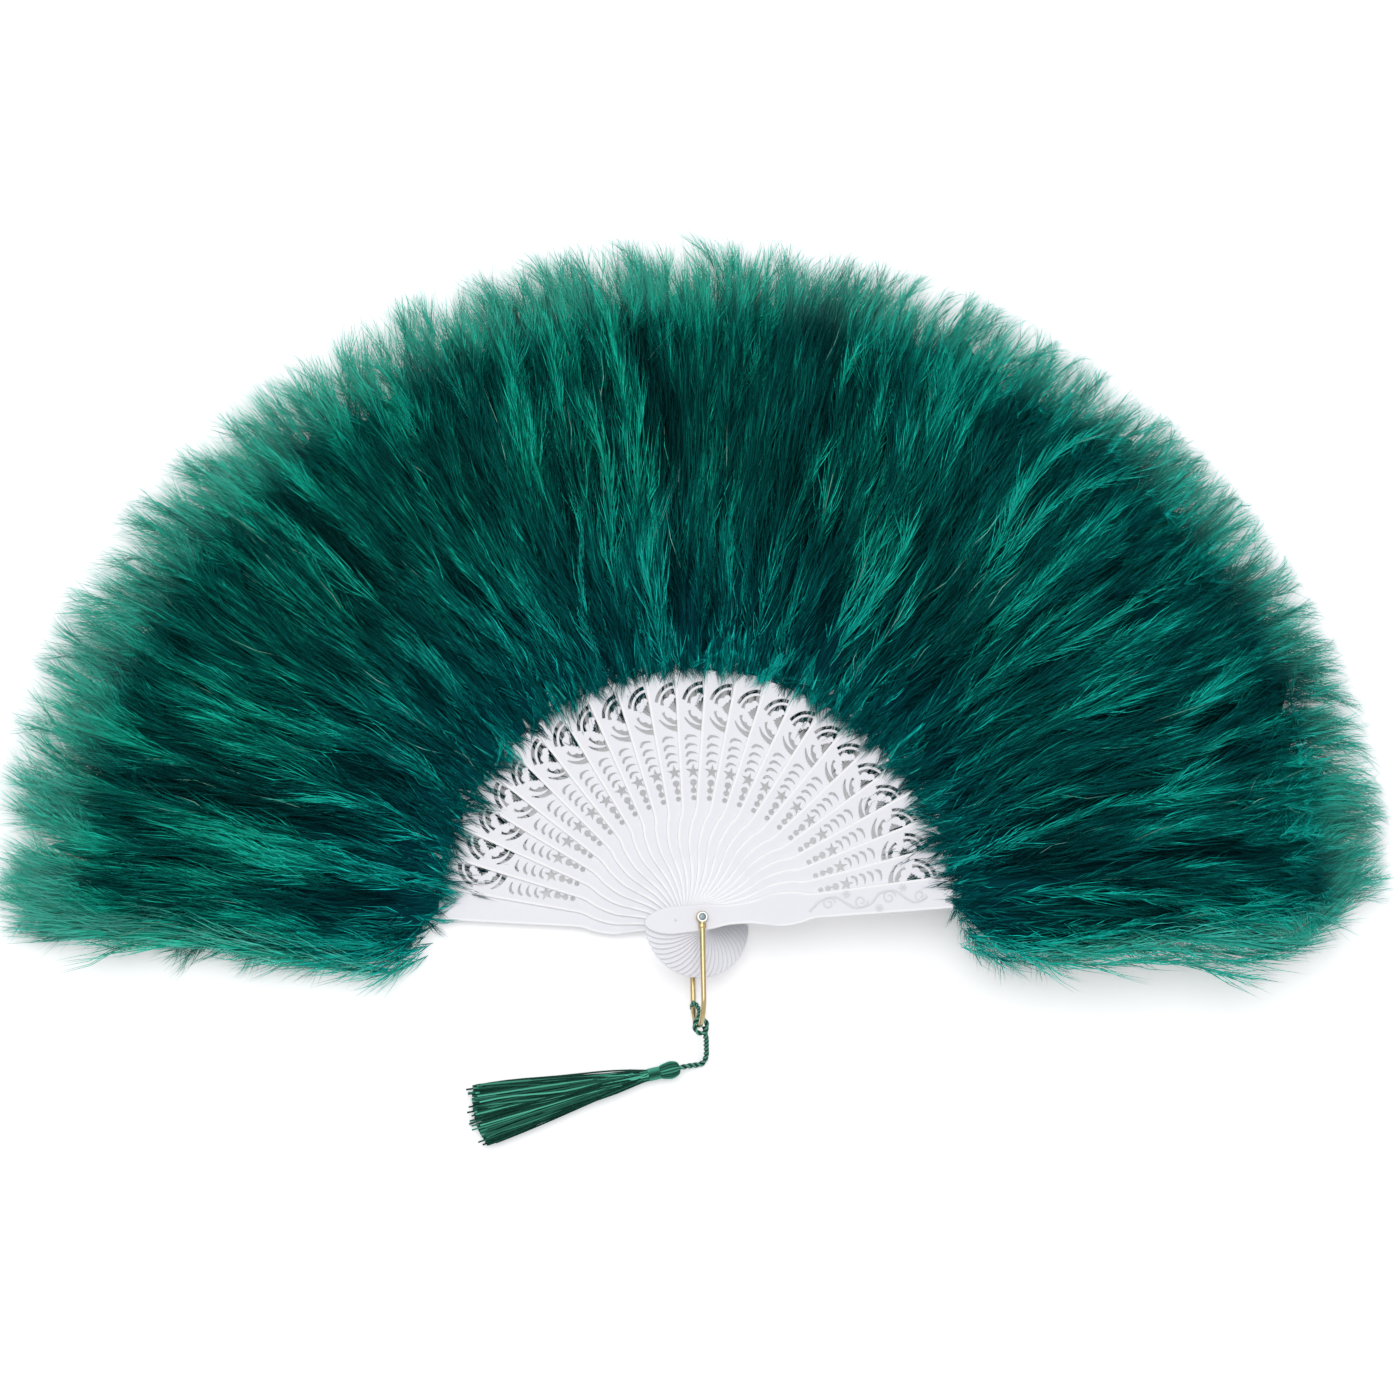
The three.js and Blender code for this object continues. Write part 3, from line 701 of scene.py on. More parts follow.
def stored(tree, geometry, name, value, kind="FLOAT", domain="POINT"):
    return made_by(tree, "GeometryNodeStoreNamedAttribute", {"Geometry": geometry, "Name": name, "Value": value},
                   data_type=kind, domain=domain)


def finished_tree(tree, geometry, material):
    """The tree, ended with plain meshes in their material."""
    whole = made_by(tree, "GeometryNodeRealizeInstances", {"Geometry": geometry})
    dressed = made_by(tree, "GeometryNodeSetMaterial", {"Geometry": whole, "Material": material})
    add_node(tree, "NodeGroupOutput", {0: dressed})
    return tree


def plied_tree():
    """Geometry nodes that sweep two plies along a line and twist them together."""
    tree, given = new_tree("plied cord", {"Line": "Geometry", "Cord Radius": "Float", "Lay Length": "Float",
                                          "Thread": "Material"}, "Cord")
    line = made_by(tree, "GeometryNodeMeshToCurve", {"Mesh": given["Line"]})
    place = add_node(tree, "GeometryNodeSplineParameter").outputs["Length"]
    tilt = math_of(tree, "MULTIPLY", math_of(tree, "DIVIDE", place, given["Lay Length"]), 2 * math.pi)
    twisted = made_by(tree, "GeometryNodeSetCurveTilt", {"Curve": line, "Tilt": tilt})
    ring = made_by(tree, "GeometryNodeCurvePrimitiveCircle", {"Resolution": 16, "Radius": 1.0}, mode="RADIUS")
    position = made_by(tree, "GeometryNodeInputPosition")
    side = math_of(tree, "ABSOLUTE", parts_of(tree, position)["X"])
    reach = math_of(tree, "MULTIPLY", ranged(tree, side, 0.0, 1.0, 0.5, 1.0), given["Cord Radius"])
    scaled = made_by(tree, "ShaderNodeVectorMath", {0: position, "Scale": reach}, operation="SCALE")
    # Painted shade and highlight: the shade written on the ring is dark in the grooves between the plies and light on
    # their crests.
    shaded = stored(tree, ring, "shade", math_of(tree, "POWER", side, 3.0))
    lobes = made_by(tree, "GeometryNodeSetPosition", {"Geometry": shaded, "Position": scaled})
    swept = made_by(tree, "GeometryNodeCurveToMesh", {"Curve": twisted, "Profile Curve": lobes, "Fill Caps": True})
    return finished_tree(tree, swept, given["Thread"])


def write_values(mesh, name, values):
    """Writes a number on each point of a mesh."""
    values = np.array(np.broadcast_to(np.asarray(values, np.float32), len(mesh.vertices)))
    mesh.attributes.new(name, "FLOAT", "POINT").data.foreach_set("value", values)
    return mesh


def lines_object(name, lines):
    """An object whose mesh is open lines of points in millimetres."""
    points, edges = [], []
    for line in lines:
        base = len(points)
        points += [tuple(p) for p in np.asarray(line) * MM]
        edges += [(base + i, base + i + 1) for i in range(len(line) - 1)]
    mesh = bpy.data.meshes.new(name)
    mesh.from_pydata(points, edges, [])
    return bpy.data.objects.new(name, mesh)


def grown(obj, tree, values):
    """The plain mesh that a geometry node tree makes of an object, with its named inputs set."""
    modifier = obj.modifiers.new("grown", "NODES")
    modifier.node_group = tree
    sockets = {s.name: s.identifier for s in tree.interface.items_tree if s.in_out == "INPUT"}
    for name, value in values.items():
        modifier[sockets[name]] = value
    return mesh_of(obj)


def rayon(name, dark, light, thread_scale):
    """Rayon thread: silky, with fine streaks of painted highlight in its colour where its filaments would catch the
    light. The shade it reads is each skirt thread's own tone, and painted shade and highlight on the cord, the head and
    the binding.
    """
    material, tree, shader = new_material(name)
    strands = noise_of(tree, thread_scale, 3.0)
    shade = add_node(tree, "ShaderNodeAttribute", attribute_name="shade").outputs["Fac"]
    # The noise adds the painted highlight streaks to the shade written on the thread.
    tone = math_of(tree, "MULTIPLY_ADD", strands, 0.14, shade)
    set_inputs(shader, {"Base Color": mixed(tree, tone, linear(dark), linear(light)),
                        "Normal": bumped(tree, strands, 0.3), "Roughness": 0.42, "Specular IOR Level": 0.035,
                        "Sheen Weight": 0.02, "Sheen Tint": linear("#8FE0C8")})
    return material


plies = plied_tree()
cord_thread = rayon("twisted rayon cord", "#081C16", "#68AE98", 1500.0)
route = smooth_line(CORD_ROUTE, 8)
cord_line = lines_object("cord line", [route])
twist = {"Lay Length": CORD_LAY * MM, "Thread": cord_thread}
cord_mesh = grown(cord_line, plies, {"Cord Radius": CORD_RADIUS * MM, **twist})
cord = new_piece("twisted_cord", cord_mesh, cord_thread, 60)
ring_angles = np.linspace(-0.5, 2 * math.pi - 0.3, 40)
ring = np.c_[HITCH_CENTRE[0] + HITCH_RADII[0] * np.cos(ring_angles),
             HITCH_CENTRE[1] + HITCH_RADII[1] * np.sin(ring_angles),
             HITCH_CENTRE[2] + 0.12 * ring_angles]
pass_over = smooth_line(HITCH_PASS, 6)
hitch_line = lines_object("hitch line", [ring, pass_over])
hitch_mesh = grown(hitch_line, plies, {"Cord Radius": HITCH_PLY_RADIUS * MM, **twist})
hitch = new_piece("hitched_eye", hitch_mesh, cord_thread, 60)
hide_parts("tassel_cord")
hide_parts("cord_hitch")
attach(hitch, "hitch")
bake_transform(cord)

# Tassel
# A skein of rayon threads is folded over the cord, which makes the bulb of the head. A wound
# thread binds its neck, and the cut ends spread into a flat brush on the table.
TASSEL_ANGLE = math.radians(195)
TASSEL_PLACE = (-3.7, -57.4, 3.6)
HEAD_RADIUS = 3.6
HEAD_BULB_LENGTH = 8
HEAD_SHARES_ALONG = [(0, 0.12), (0.03, 0.5), (0.14, 0.8), (0.42, 1), (0.72, 0.93), (0.93, 0.8), (1.04, 0.66)]
HEAD_FOLDS = 17
HEAD_FOLD_DEPTH = 0.15
BINDING_RADIUS = 2.6
BINDING_LENGTH = 4.8
BINDING_TURNS = 9
BINDING_GROOVE = 0.42
BINDING_START = 8.3
# How far round its axis the binding's painted highlight band is turned
BINDING_PAINTED_GLEAM_TURN = 2.0
SKIRT_START = 13.0
SKIRT_LENGTH = 71.5
SKIRT_HALF_WIDTH = 11.3
SKIRT_POINTS = 11
NECK_RADIUS = 2.1
# The share of its length over which the skirt comes down from the neck to the table
SKIRT_DROP = 0.3
SKIRT_THREADS = 250
THREAD_RADIUS = 0.37
SKIRT_SEED = 11
FLOSS_SHADES = (0, 0, 0.05, 0.15, 0.5, 0.95)
# Every so many threads one strays sideways, and every so many one is cut long
STRAY_EVERY = 9
LONG_EVERY = 14

tassel_turn = Matrix.Translation(Vector(TASSEL_PLACE) * MM) @ Matrix.Rotation(TASSEL_ANGLE, 4, "Z")


def tube_mesh(name, rings):
    """A closed skin over rings of points in millimetres, each ring with the same number of them."""
    count = len(rings[0])
    faces = [(i * count + j, i * count + (j + 1) % count, (i + 1) * count + (j + 1) % count, (i + 1) * count + j)
             for i in range(len(rings) - 1) for j in range(count)]
    faces += [tuple(range(count))[::-1], tuple((len(rings) - 1) * count + j for j in range(count))]
    mesh = bpy.data.meshes.new(name)
    mesh.from_pydata([tuple(MM * c for c in point) for ring in rings for point in ring], [], faces)
    return mesh


def bulb_mesh():
    """The head: a bulb whose surface is the folds of the skein, drawn in at its neck. Its shade is painted: darker in
    the grooves between the folds, with bands of painted highlight round the bulb.
    """
    angles = np.arange(HEAD_FOLDS * 6) * 2 * math.pi / (HEAD_FOLDS * 6)
    # Painted highlight: bands that brighten and darken round the bulb.
    painted_gleam = 0.6 + 0.4 * np.sin(4.5 * angles + 1)
    rings, shades = [], []
    for x, r in smooth_line([(a * HEAD_BULB_LENGTH, r * HEAD_RADIUS) for a, r in HEAD_SHARES_ALONG], 4):
        groove = np.abs(np.cos(HEAD_FOLDS / 2 * angles + 0.65 * np.sin(angles * 2) + x * 0.06))
        fold = r * (1 - HEAD_FOLD_DEPTH * groove)
        rings.append([(x, f * math.cos(a), f * math.sin(a)) for a, f in zip(angles, fold)])
        # Painted shade: darker in each fold's groove.
        shades += list(painted_gleam * np.clip(1 - groove, 0, 1) ** 0.7)
    return cleaned(write_values(tube_mesh("bulb", rings), "shade", shades))


def binding_mesh():
    """The binding: a thread wound side by side round the neck."""
    pitch = BINDING_LENGTH / BINDING_TURNS
    groove = pitch * BINDING_GROOVE
    foot = BINDING_RADIUS - groove
    profile = [(foot + math.sin(math.pi * share) * groove, (turn + share) * pitch)
               for turn in range(BINDING_TURNS) for share in (0, 0.25, 0.5, 0.75)]
    mesh = turned_mesh("binding", [(0, 0), *profile, (foot, BINDING_LENGTH), (0, BINDING_LENGTH)], False, 36)
    # Painted shade and highlight: darker in the grooves between the turns, with a band of painted highlight round the
    # binding.
    crest = [math.hypot(v.co.x, v.co.y) / MM - BINDING_RADIUS for v in mesh.vertices]
    painted_gleam = [1 + 0.85 * math.sin(3 * math.atan2(v.co.y, v.co.x) + BINDING_PAINTED_GLEAM_TURN) for v in mesh.vertices]
    mesh.transform(Matrix.Translation((BINDING_START * MM, 0, 0)) @ Matrix.Rotation(math.pi / 2, 4, "Y"))
    return write_values(mesh, "shade", [(0.6 + 1.8 * c) * g for c, g in zip(crest, painted_gleam)])


def eased(share):
    """A share from 0 to 1 that starts and ends gently."""
    share = np.clip(share, 0, 1)
    return share * share * (3 - 2 * share)


def skirt_lines():
    """Centre lines of the skirt's threads, from the neck to their cut ends, above the table."""
    rng = np.random.default_rng(SKIRT_SEED)
    lines, shades = [], []
    along = np.linspace(0, 1, SKIRT_POINTS)
    drop = eased(along / SKIRT_DROP)
    for number in range(SKIRT_THREADS):
        angle, reach = rng.uniform(0, 2 * math.pi), math.sqrt(rng.uniform(0, 1))
        spread = rng.uniform(-1, 1) if number % STRAY_EVERY else rng.choice((-1, 1)) * rng.uniform(0.9, 1.08)
        share = 0.99 - 0.055 * rng.uniform() ** 2 + (0 if number % LONG_EVERY else 0.035)
        length = SKIRT_LENGTH * share - 2.0 * spread**2
        start_y, start_z = NECK_RADIUS * reach * math.cos(angle), NECK_RADIUS * reach * math.sin(angle)
        level = rng.uniform(-1, 1)
        y = start_y + (SKIRT_HALF_WIDTH * spread - start_y) * along**0.9
        y += rng.normal(0, 0.5) * np.sin(math.pi * along) + rng.normal(0, 0.25) * np.sin(3 * math.pi * along)
        rest = 3.0 + 2.5 * level * (1 - 0.35 * abs(spread))
        z = (HEAD_RADIUS + start_z) * (1 - drop) + rest * drop + rng.normal(0, 0.12) * np.sin(2 * math.pi * along)
        z = np.maximum(z, THREAD_RADIUS + 0.05)
        lines.append(np.c_[SKIRT_START + length * along, y, z - HEAD_RADIUS])
        shades += [rng.choice(FLOSS_SHADES)] * len(along)
    return lines, shades


def thread_tree():
    """Geometry nodes that turn each line into a round thread with closed ends."""
    tree, given = new_tree("loose threads", {"Lines": "Geometry", "Thread Radius": "Float", "Thread": "Material"},
                           "Threads")
    lines = made_by(tree, "GeometryNodeMeshToCurve", {"Mesh": given["Lines"]})
    ring = made_by(tree, "GeometryNodeCurvePrimitiveCircle", {"Resolution": 5, "Radius": given["Thread Radius"]},
                   mode="RADIUS")
    swept = made_by(tree, "GeometryNodeCurveToMesh", {"Curve": lines, "Profile Curve": ring, "Fill Caps": True})
    return finished_tree(tree, swept, given["Thread"])


floss = rayon("rayon tassel floss", "#001A13", "#5CC0A2", 900.0)
head = new_piece("folded_head", bulb_mesh(), floss, 60)
binding = new_piece("wound_binding", binding_mesh(), floss, 60)
threads, shades = skirt_lines()
thread_lines = lines_object("skirt lines", threads)
write_values(thread_lines.data, "shade", shades)
skirt_mesh = grown(thread_lines, thread_tree(), {"Thread Radius": THREAD_RADIUS * MM, "Thread": floss})
skirt = new_piece("loose_skirt", skirt_mesh, floss, 60)
for piece, node in ((head, "tassel_head"), (binding, "tassel_binding"), (skirt, "tassel_skirt")):
    piece.data.transform(tassel_turn)
    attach(piece, "tassel")
    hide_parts(node)

# Plumes
# Marabou: soft turkey down, dyed teal. Each rib's tail has some sixty feathers glued to it, and
# each feather is a thin shaft with fine loose barbs all along it.
PLUME_SEED = 5
PLUME_ROOT = 102.4
PLUME_REACH = 272
PLUME_LOFT = 16
PLUME_TIP_HEIGHT = 12
END_SPREAD = 38
# Shares of the way out along the down, and there its crest's, belly's and tip's height
PLACE_SHARES = [0, 0.1, 0.3, 0.55, 0.82, 1]
CREST_SHARES = [0.24, 0.62, 1, 0.92, 0.6, 0.16]
BELLY_SHARES = [0.5, 0.9, 1, 1, 1, 0.5]
DROOP_SHARES = [0, 0, 0, 0.2, 0.65, 1]
# The free edge's spread, for the back guard's down at the left and the front guard's at the right
SPREAD_SHARES = {1: [0.6, 0.7, 0.54, 0.38, 0.2, 0.05], -1: [0.7, 0.7, 0.68, 0.44, 0.42, 0.1]}
HALF_PITCH = math.tan((BACK_ANGLE - FRONT_ANGLE) / (STICK_COUNT + 1) / 2)
# Each layer of feathers: how many, their roots' range, their tips' range, and their barbs' length, number and girth
LAYERS = [(8, (101, 110), (150, 186), 24, 90, 23), (8, (108, 146), (196, 232), 28, 112, 24),
          (12, (140, 182), (238, 256), 28, 140, 22), (36, (202, 240), (243, 270), 21, 56, 11)]
END_SHARE = 2.5
# The down reaches further at the right and at the top of the open fan than at the left: how much, by a rib's degrees
REACH_SHIFTS = ([8, 20, 50, 77, 102, 130, 158, 178], [15, 23, 20, 12, 5, 0, 1, -2])
# No barb reaches past this, and past the given share of its rib's shift
REACH_CAP = 282
CAP_SHARE = 0.6
SHAFT_POINTS = 11
REACH_SHARES = ([0, 0.15, 0.5, 0.85, 1], [0.5, 0.8, 1, 0.95, 0.85])
SPLAYS = ([0, 0.3, 0.75, 1], [42, 25, 15, 27])
# A plume's field of feathers: its width against its rib's pitch, and from where across it leans to the free edge
FIELD_WIDTH = 1.2
FREE_FROM = -0.45
FREE_EDGE_SHARE = 0.84
# How fast the feathers open out to their places, and how wide they start: inside the fan and at its free edges
OPENING = (1.6, 0.6)
FREE_OPENING = (4.5, 0.8)
FEATHER_STRAY = 4.5
FEATHER_BOW = 1.2
SHAFT_GAP = 1.5
PALE_HAIR_CHANCE = 0.003
# The waves that carry the shafts sideways: their length, their height and their layer of the noise
FLOW = (85, 23, 1.85)
# The dye's light and dark streaks: how many round a full turn, how long, and how strong
STREAKS = [(64, 46, 0.25), (150, 32, 0.5)]
STREAK_LAYER = 3.5
# A feather's dye: its usual tone, the most of the dye, and that of the rare pale feather
FEATHER_TONE = 0.41
MOST_TONE = 0.86
PALE_TONE = 0.9
PALE_CHANCE = 0.02
WAVE_HEIGHT = 4.5
WAVE_LENGTH = 20.0
BARB_RINGS = [(0, 0.0086), (0.5, 0.0072)]
BARB_BEND = 0.24
# The rim, where the down thins out and is painted lighter, for the light through its thin strands: its inner radius,
# its depth, and how much lighter it is painted
RIM_RADIUS = 224
RIM_DEPTH = 34
RIM_TONE = 0.5
# Beyond this radius the barbs' tips are painted paler, more and more so over the given depth: painted light, for the
# light through the thin tips
PALE_RADIUS = 241
PALE_DEPTH = 20
TABLE_GAP = 0.4
CEILING_GAP = 5.5
# The tufts on a free edge: how many, the range of their roots, and their barbs' length, splay, number and girth
EDGE_TUFTS = 38
EDGE_ROOTS = (103, 252)
EDGE_BARBS = (13, 0.7, 56, 11)
# The fluff at the feathers' roots, which hides the glue on the ends of the blades, with its barbs likewise
FLUFF_TUFTS = (13, 7)
FLUFF_BARBS = (10, 0.45, 42, 14)
# The underdown: its sides and rings, its span, its gap from the down's underside, how much of the down's height
# and free edge it fills, how lumpy it is and how ragged its end
UNDERDOWN_SIDES = 12
UNDERDOWN_RINGS = 16
UNDERDOWN_SPAN = (101.8, 248)
UNDERDOWN_GAP = 2.5
UNDERDOWN_FILL = 0.6
UNDERDOWN_FREE_EDGE = 0.68
UNDERDOWN_LUMPS = 0.16
UNDERDOWN_RAGGED = 18
TAIL_COVER = 4.2
QUILL_LEAN = math.radians(72)
# The dye on the down's clumps: how fine these are round the fan and outwards, and how far they change its tone
CLUMPS_AROUND = 150.0
CLUMPS_OUTWARDS = 45.0
CLUMP_CONTRAST = 1.1
# The down's colour by tone. Its bright top, up to 0.86, is reached mostly at the rim and the free edges, where the tone
# is raised as painted light; above it lie the pale feathers, the quills and the pale hairs.
DYE_STOPS = [(0.0, "#01282A"), (0.3, "#014846"), (0.58, "#046C63"), (0.78, "#0CAE90"), (0.86, "#20ECC8"),
             (0.93, "#2A9478"), (0.985, "#8CC4A8")]
# The colour is painted bluer and a little lighter near the blades, between these radii, for the light through the thin
# down over the white plastic; it also turns bluer towards the right of the fan, up to this far and this much
COOL_TINT = (0.9, 1.04, 1.3, 1)
COOL_RADII = (110 * MM, 200 * MM)
COOL_RIGHT = (160 * MM, 0.6)


def plume_shape(rib_z, free_side):
    """Functions of the distance from the rivet: the down's underside, its top and its side spread."""
    def share(r, table):
        return np.interp((r - PLUME_ROOT) / (PLUME_REACH - PLUME_ROOT), PLACE_SHARES, table)

    def base(r):
        return rib_z + (PLUME_TIP_HEIGHT - rib_z) * share(r, DROOP_SHARES)

    def low(r):
        return base(r) * (1 - share(r, BELLY_SHARES))

    def high(r):
        return base(r) + PLUME_LOFT * share(r, CREST_SHARES)

    def spread(r):
        return END_SPREAD * share(r, SPREAD_SHARES[free_side]) if free_side else 0 * r

    return low, high, spread


def flow(points, angle):
    """How far the down's slow waves carry each point sideways, the same for all plumes that pass there."""
    length, height, layer = FLOW
    turn = np.array([[math.cos(angle), -math.sin(angle)], [math.sin(angle), math.cos(angle)]])
    return np.array([noise.noise((x, y, layer)) for x, y in points[:, :2] @ turn.T / length]) * height


def reach_shift(angle):
    """How much further than the mean a rib's down reaches."""
    return float(np.interp(math.degrees(angle), *REACH_SHIFTS))


def streaks(points, angle):
    """The lighter and darker streaks of the dye at each point, the same for all plumes that pass there."""
    around = (angle + np.arctan2(points[:, 1], points[:, 0])) / (2 * math.pi)
    return sum(weight * np.array([noise.noise((a * turns, r / length, STREAK_LAYER))
                                  for a, r in zip(around, points[:, 0])]) for turns, length, weight in STREAKS)


def shaft(points, tone, reach, splay, ceiling, count, girth, pale_from):
    """A shaft's points, then for each its barbs' tone, length, splay, ceiling, number, girth and paling radius."""
    values = tone, reach * MM, splay, ceiling * MM, count, girth * MM, pale_from * MM
    return points, *(np.broadcast_to(value, len(points)) for value in values)


def feather(rng, rib_z, angle, free_side, layer, place):
    """One feather, at its share of the way across its layer."""
    low, high, spread = plume_shape(rib_z, free_side)
    shift = reach_shift(angle)
    _, roots, tips, barb, count, girth = layer
    tip = rng.uniform(*tips) + shift
    root = rng.uniform(*roots)
    root += shift * float(eased((root - PLUME_ROOT) / 100))
    s = np.linspace(0, 1, SHAFT_POINTS)
    r = root + (tip - root) * s
    side = 2 * place - 1
    edge = r * HALF_PITCH * FIELD_WIDTH
    opening, root_share = OPENING
    rim = eased((r - shift - RIM_RADIUS) / RIM_DEPTH)
    pale_from = PALE_RADIUS + shift
    if free_side and side * free_side > FREE_FROM:
        side = free_side * (side * free_side - FREE_FROM) / (1 - FREE_FROM)
        edge = edge + spread(r) * FREE_EDGE_SHARE
        opening, root_share = FREE_OPENING
        # The free edge is painted lighter, like the rim, and its tips paler from further in.
        rim = np.maximum(rim, eased((abs(side) - 0.55) / 0.4))
        pale_from = pale_from * (1 - eased((abs(side) - 0.7) / 0.25))
    y = side * edge * (root_share + (1 - root_share) * eased(opening * s)) + rng.normal(0, FEATHER_STRAY) * s**2
    y += rng.normal(0, FEATHER_BOW) * np.sin(2 * math.pi * s) * s
    level = rng.beta(1.7, 0.9)
    z = low(r) + (high(r) - low(r)) * (0.12 + 0.84 * level)
    z = (rib_z + (2.6 if level > 0.4 else -0.8)) * (1 - eased(2.2 * s)) + z * eased(2.2 * s)
    points = np.c_[r, y, np.maximum(z, SHAFT_GAP)]
    # Painted light and shade: the tone is raised at the rim and the free edge, and lowered for feathers that lie low in
    # the down, where the shade falls.
    tone = FEATHER_TONE + RIM_TONE * rim + streaks(points, angle) * (1 - 0.5 * rim) + 0.3 * (level - 0.65)
    tone += rng.normal(0, 0.13)
    tone = np.clip(tone, 0, MOST_TONE) if rng.uniform() > PALE_CHANCE else PALE_TONE
    points[:, 1] += flow(points, angle) * s
    reach = barb * rng.uniform(0.9, 1.1) * np.interp(s, *REACH_SHARES)
    splay = np.radians(np.interp(s, *SPLAYS))
    return shaft(points, tone, reach, splay, high(r) + CEILING_GAP, count, girth, pale_from)


def fluff(rng, rib_z, angle, place, under):
    """A small tuft that hangs over the blade's end, or lies under it where the piercings show it."""
    y = BLADE_LENGTH * HALF_PITCH * 1.15 * (2 * place - 1)
    s = np.linspace(0, 1, 5)
    sides = abs(math.cos(angle))
    if under:
        depth = 5 + (21 if math.cos(angle) < 0 else 13) * sides
        root, tip, drift = 110, BLADE_LENGTH - depth * rng.uniform(0.5, 1), rng.normal(0, 2.5)
        z = np.maximum(rib_z - 0.7 - rng.uniform(0, 2.5) * s, 0.4)
        # Painted shade: the tufts under the blade get a dark tone, for the shade beneath it.
        tone = rng.uniform(0, 0.35)
    else:
        root, tip = rng.uniform(110, 121), 104.5 - (1 + 7 * sides) * rng.uniform() ** 2
        drift = rng.normal(0, 4)
        z = rib_z + 2.2 + rng.uniform(1, 5) * (1 - s) ** 1.5
        tone = 0.3 + streaks(np.array([(root, y)]), angle)[0] + rng.uniform(0, 0.35)
    points = np.c_[root + (tip - root) * s, y + drift * (s**2 - 0.5), z]
    reach, splay, count, girth = FLUFF_BARBS
    return shaft(points, min(max(tone, 0), MOST_TONE), reach * rng.uniform(0.75, 1.1), splay, rib_z + 12, count,
                 girth, 1 / MM)


def edging(rng, rib_z, free_side, place):
    """A tuft on the free edge of an outer rib's down, which points outwards and away from its rib."""
    low, high, spread = plume_shape(rib_z, free_side)
    s = np.linspace(0, 1, 5)
    start, end = EDGE_ROOTS
    root = start + (end - start) * place**1.5
    edge = root * HALF_PITCH + FREE_EDGE_SHARE * spread(root)
    r = root + rng.uniform(10, 16) * (0.45 + 0.55 * place**0.5) * s
    y = free_side * (edge - rng.uniform(6, 15) * (1 + 1.3 * (1 - place) ** 3) + rng.uniform(5, 11) * s)
    z = np.maximum((low(root) + (high(root) - low(root)) * rng.uniform(0.05, 0.6)) * (1 - 0.5 * s), SHAFT_GAP)
    # Painted light: the edge tufts are toned lighter than the down inside, more so further out, as at the rim.
    tone = min(rng.uniform(0.5, 0.8) + 0.2 * place, MOST_TONE)
    reach, splay, count, girth = EDGE_BARBS
    return shaft(np.c_[r, y, z], tone, reach, splay, high(root), count, girth, r - 7)


def quill_mesh(rng, rib_z, angle):
    """The bare end of one feather's quill, where it comes out of the down."""
    length = rng.uniform(7, 12)
    quill = turned_mesh("quill", [(0, 0), (0.5, 0), (0.3, length / 2), (0, length)], False, 6)
    place = (rng.uniform(99.5, 104) * MM, rng.uniform(-4, 4) * MM, (rib_z + rng.uniform(-0.6, 3.4)) * MM)
    turn = Matrix.Rotation(rng.uniform(-0.35, 0.35), 4, "Z") @ Matrix.Rotation(QUILL_LEAN, 4, "Y")
    quill.transform(Matrix.Rotation(angle, 4, "Z") @ Matrix.Translation(place) @ turn)
    return quill


def underdown_mesh(rib_z, angle, free_side):
    """The dense down round a rib's tail, as a closed lumpy body in the rib's own frame. Its dark colour, given in
    with_map, is painted shade.
    """
    low, high, spread = plume_shape(rib_z, free_side)
    start, end = UNDERDOWN_SPAN
    around = np.arange(UNDERDOWN_SIDES) * 2 * math.pi / UNDERDOWN_SIDES
    rings = []
    radii = np.linspace(start, end + reach_shift(angle), UNDERDOWN_RINGS)
    for place, r in zip(np.linspace(0, 1, UNDERDOWN_RINGS), radii):
        opened = float(eased((r - start) / 7 + 0.5))
        full = (0.5 + 0.5 * math.sqrt(1 - place**14)) * opened
        wedge = r * HALF_PITCH * (1.14 + 0.16 * place)
        widened = spread(r) * UNDERDOWN_FREE_EDGE * float(eased((r - start) / 30 + 0.1))
        left, right = wedge + widened * (free_side > 0), wedge + widened * (free_side < 0)
        bottom, top = low(r) + UNDERDOWN_GAP, low(r) + (high(r) - low(r)) * UNDERDOWN_FILL
        if r < BLADE_LENGTH + TAIL_LENGTH + 4:
            top = max(top, min(rib_z + TAIL_COVER, high(r)))
        middle, half = (bottom + top) / 2, (top - bottom) / 2 * ((0.2 + 0.8 * math.sqrt(1 - place**6)) * opened)
        ring = []
        for a in around:
            reach = left if math.cos(a) > 0 else right
            lump = 1 + UNDERDOWN_LUMPS * noise.noise((r / 9, math.cos(a) * 2 + rib_z, math.sin(a) * 2))
            ragged = r + UNDERDOWN_RAGGED * place**5 * (noise.noise((math.cos(a) * 4, rib_z, 1.5)) - 0.1)
            ring.append((ragged, reach * full * math.cos(a) * lump, max(0.6, middle + half * math.sin(a) * lump)))
        rings.append(ring)
    return cleaned(tube_mesh("underdown", rings))


def feathers_object(rng, rib_z, angle, free_side):
    """All the shafts of one rib as open lines, with what the barbs need written on their points."""
    made = []
    for layer in LAYERS:
        count = round(layer[0] * (END_SHARE if free_side else 1))
        made += [feather(rng, rib_z, angle, free_side, layer, (i + rng.uniform()) / count) for i in range(count)]
    for under, tufts in enumerate(FLUFF_TUFTS):
        if not (under and free_side):
            made += [fluff(rng, rib_z, angle, (i + rng.uniform()) / tufts, under) for i in range(tufts)]
    if free_side:
        made += [edging(rng, rib_z, free_side, (i + rng.uniform()) / EDGE_TUFTS) for i in range(EDGE_TUFTS)]
    obj = lines_object("shafts", [m[0] for m in made])
    for column, name in enumerate(("tone", "reach", "splay", "ceiling", "barbs", "girth", "pale_from"), 1):
        write_values(obj.data, name, np.concatenate([m[column] for m in made]))
    return obj


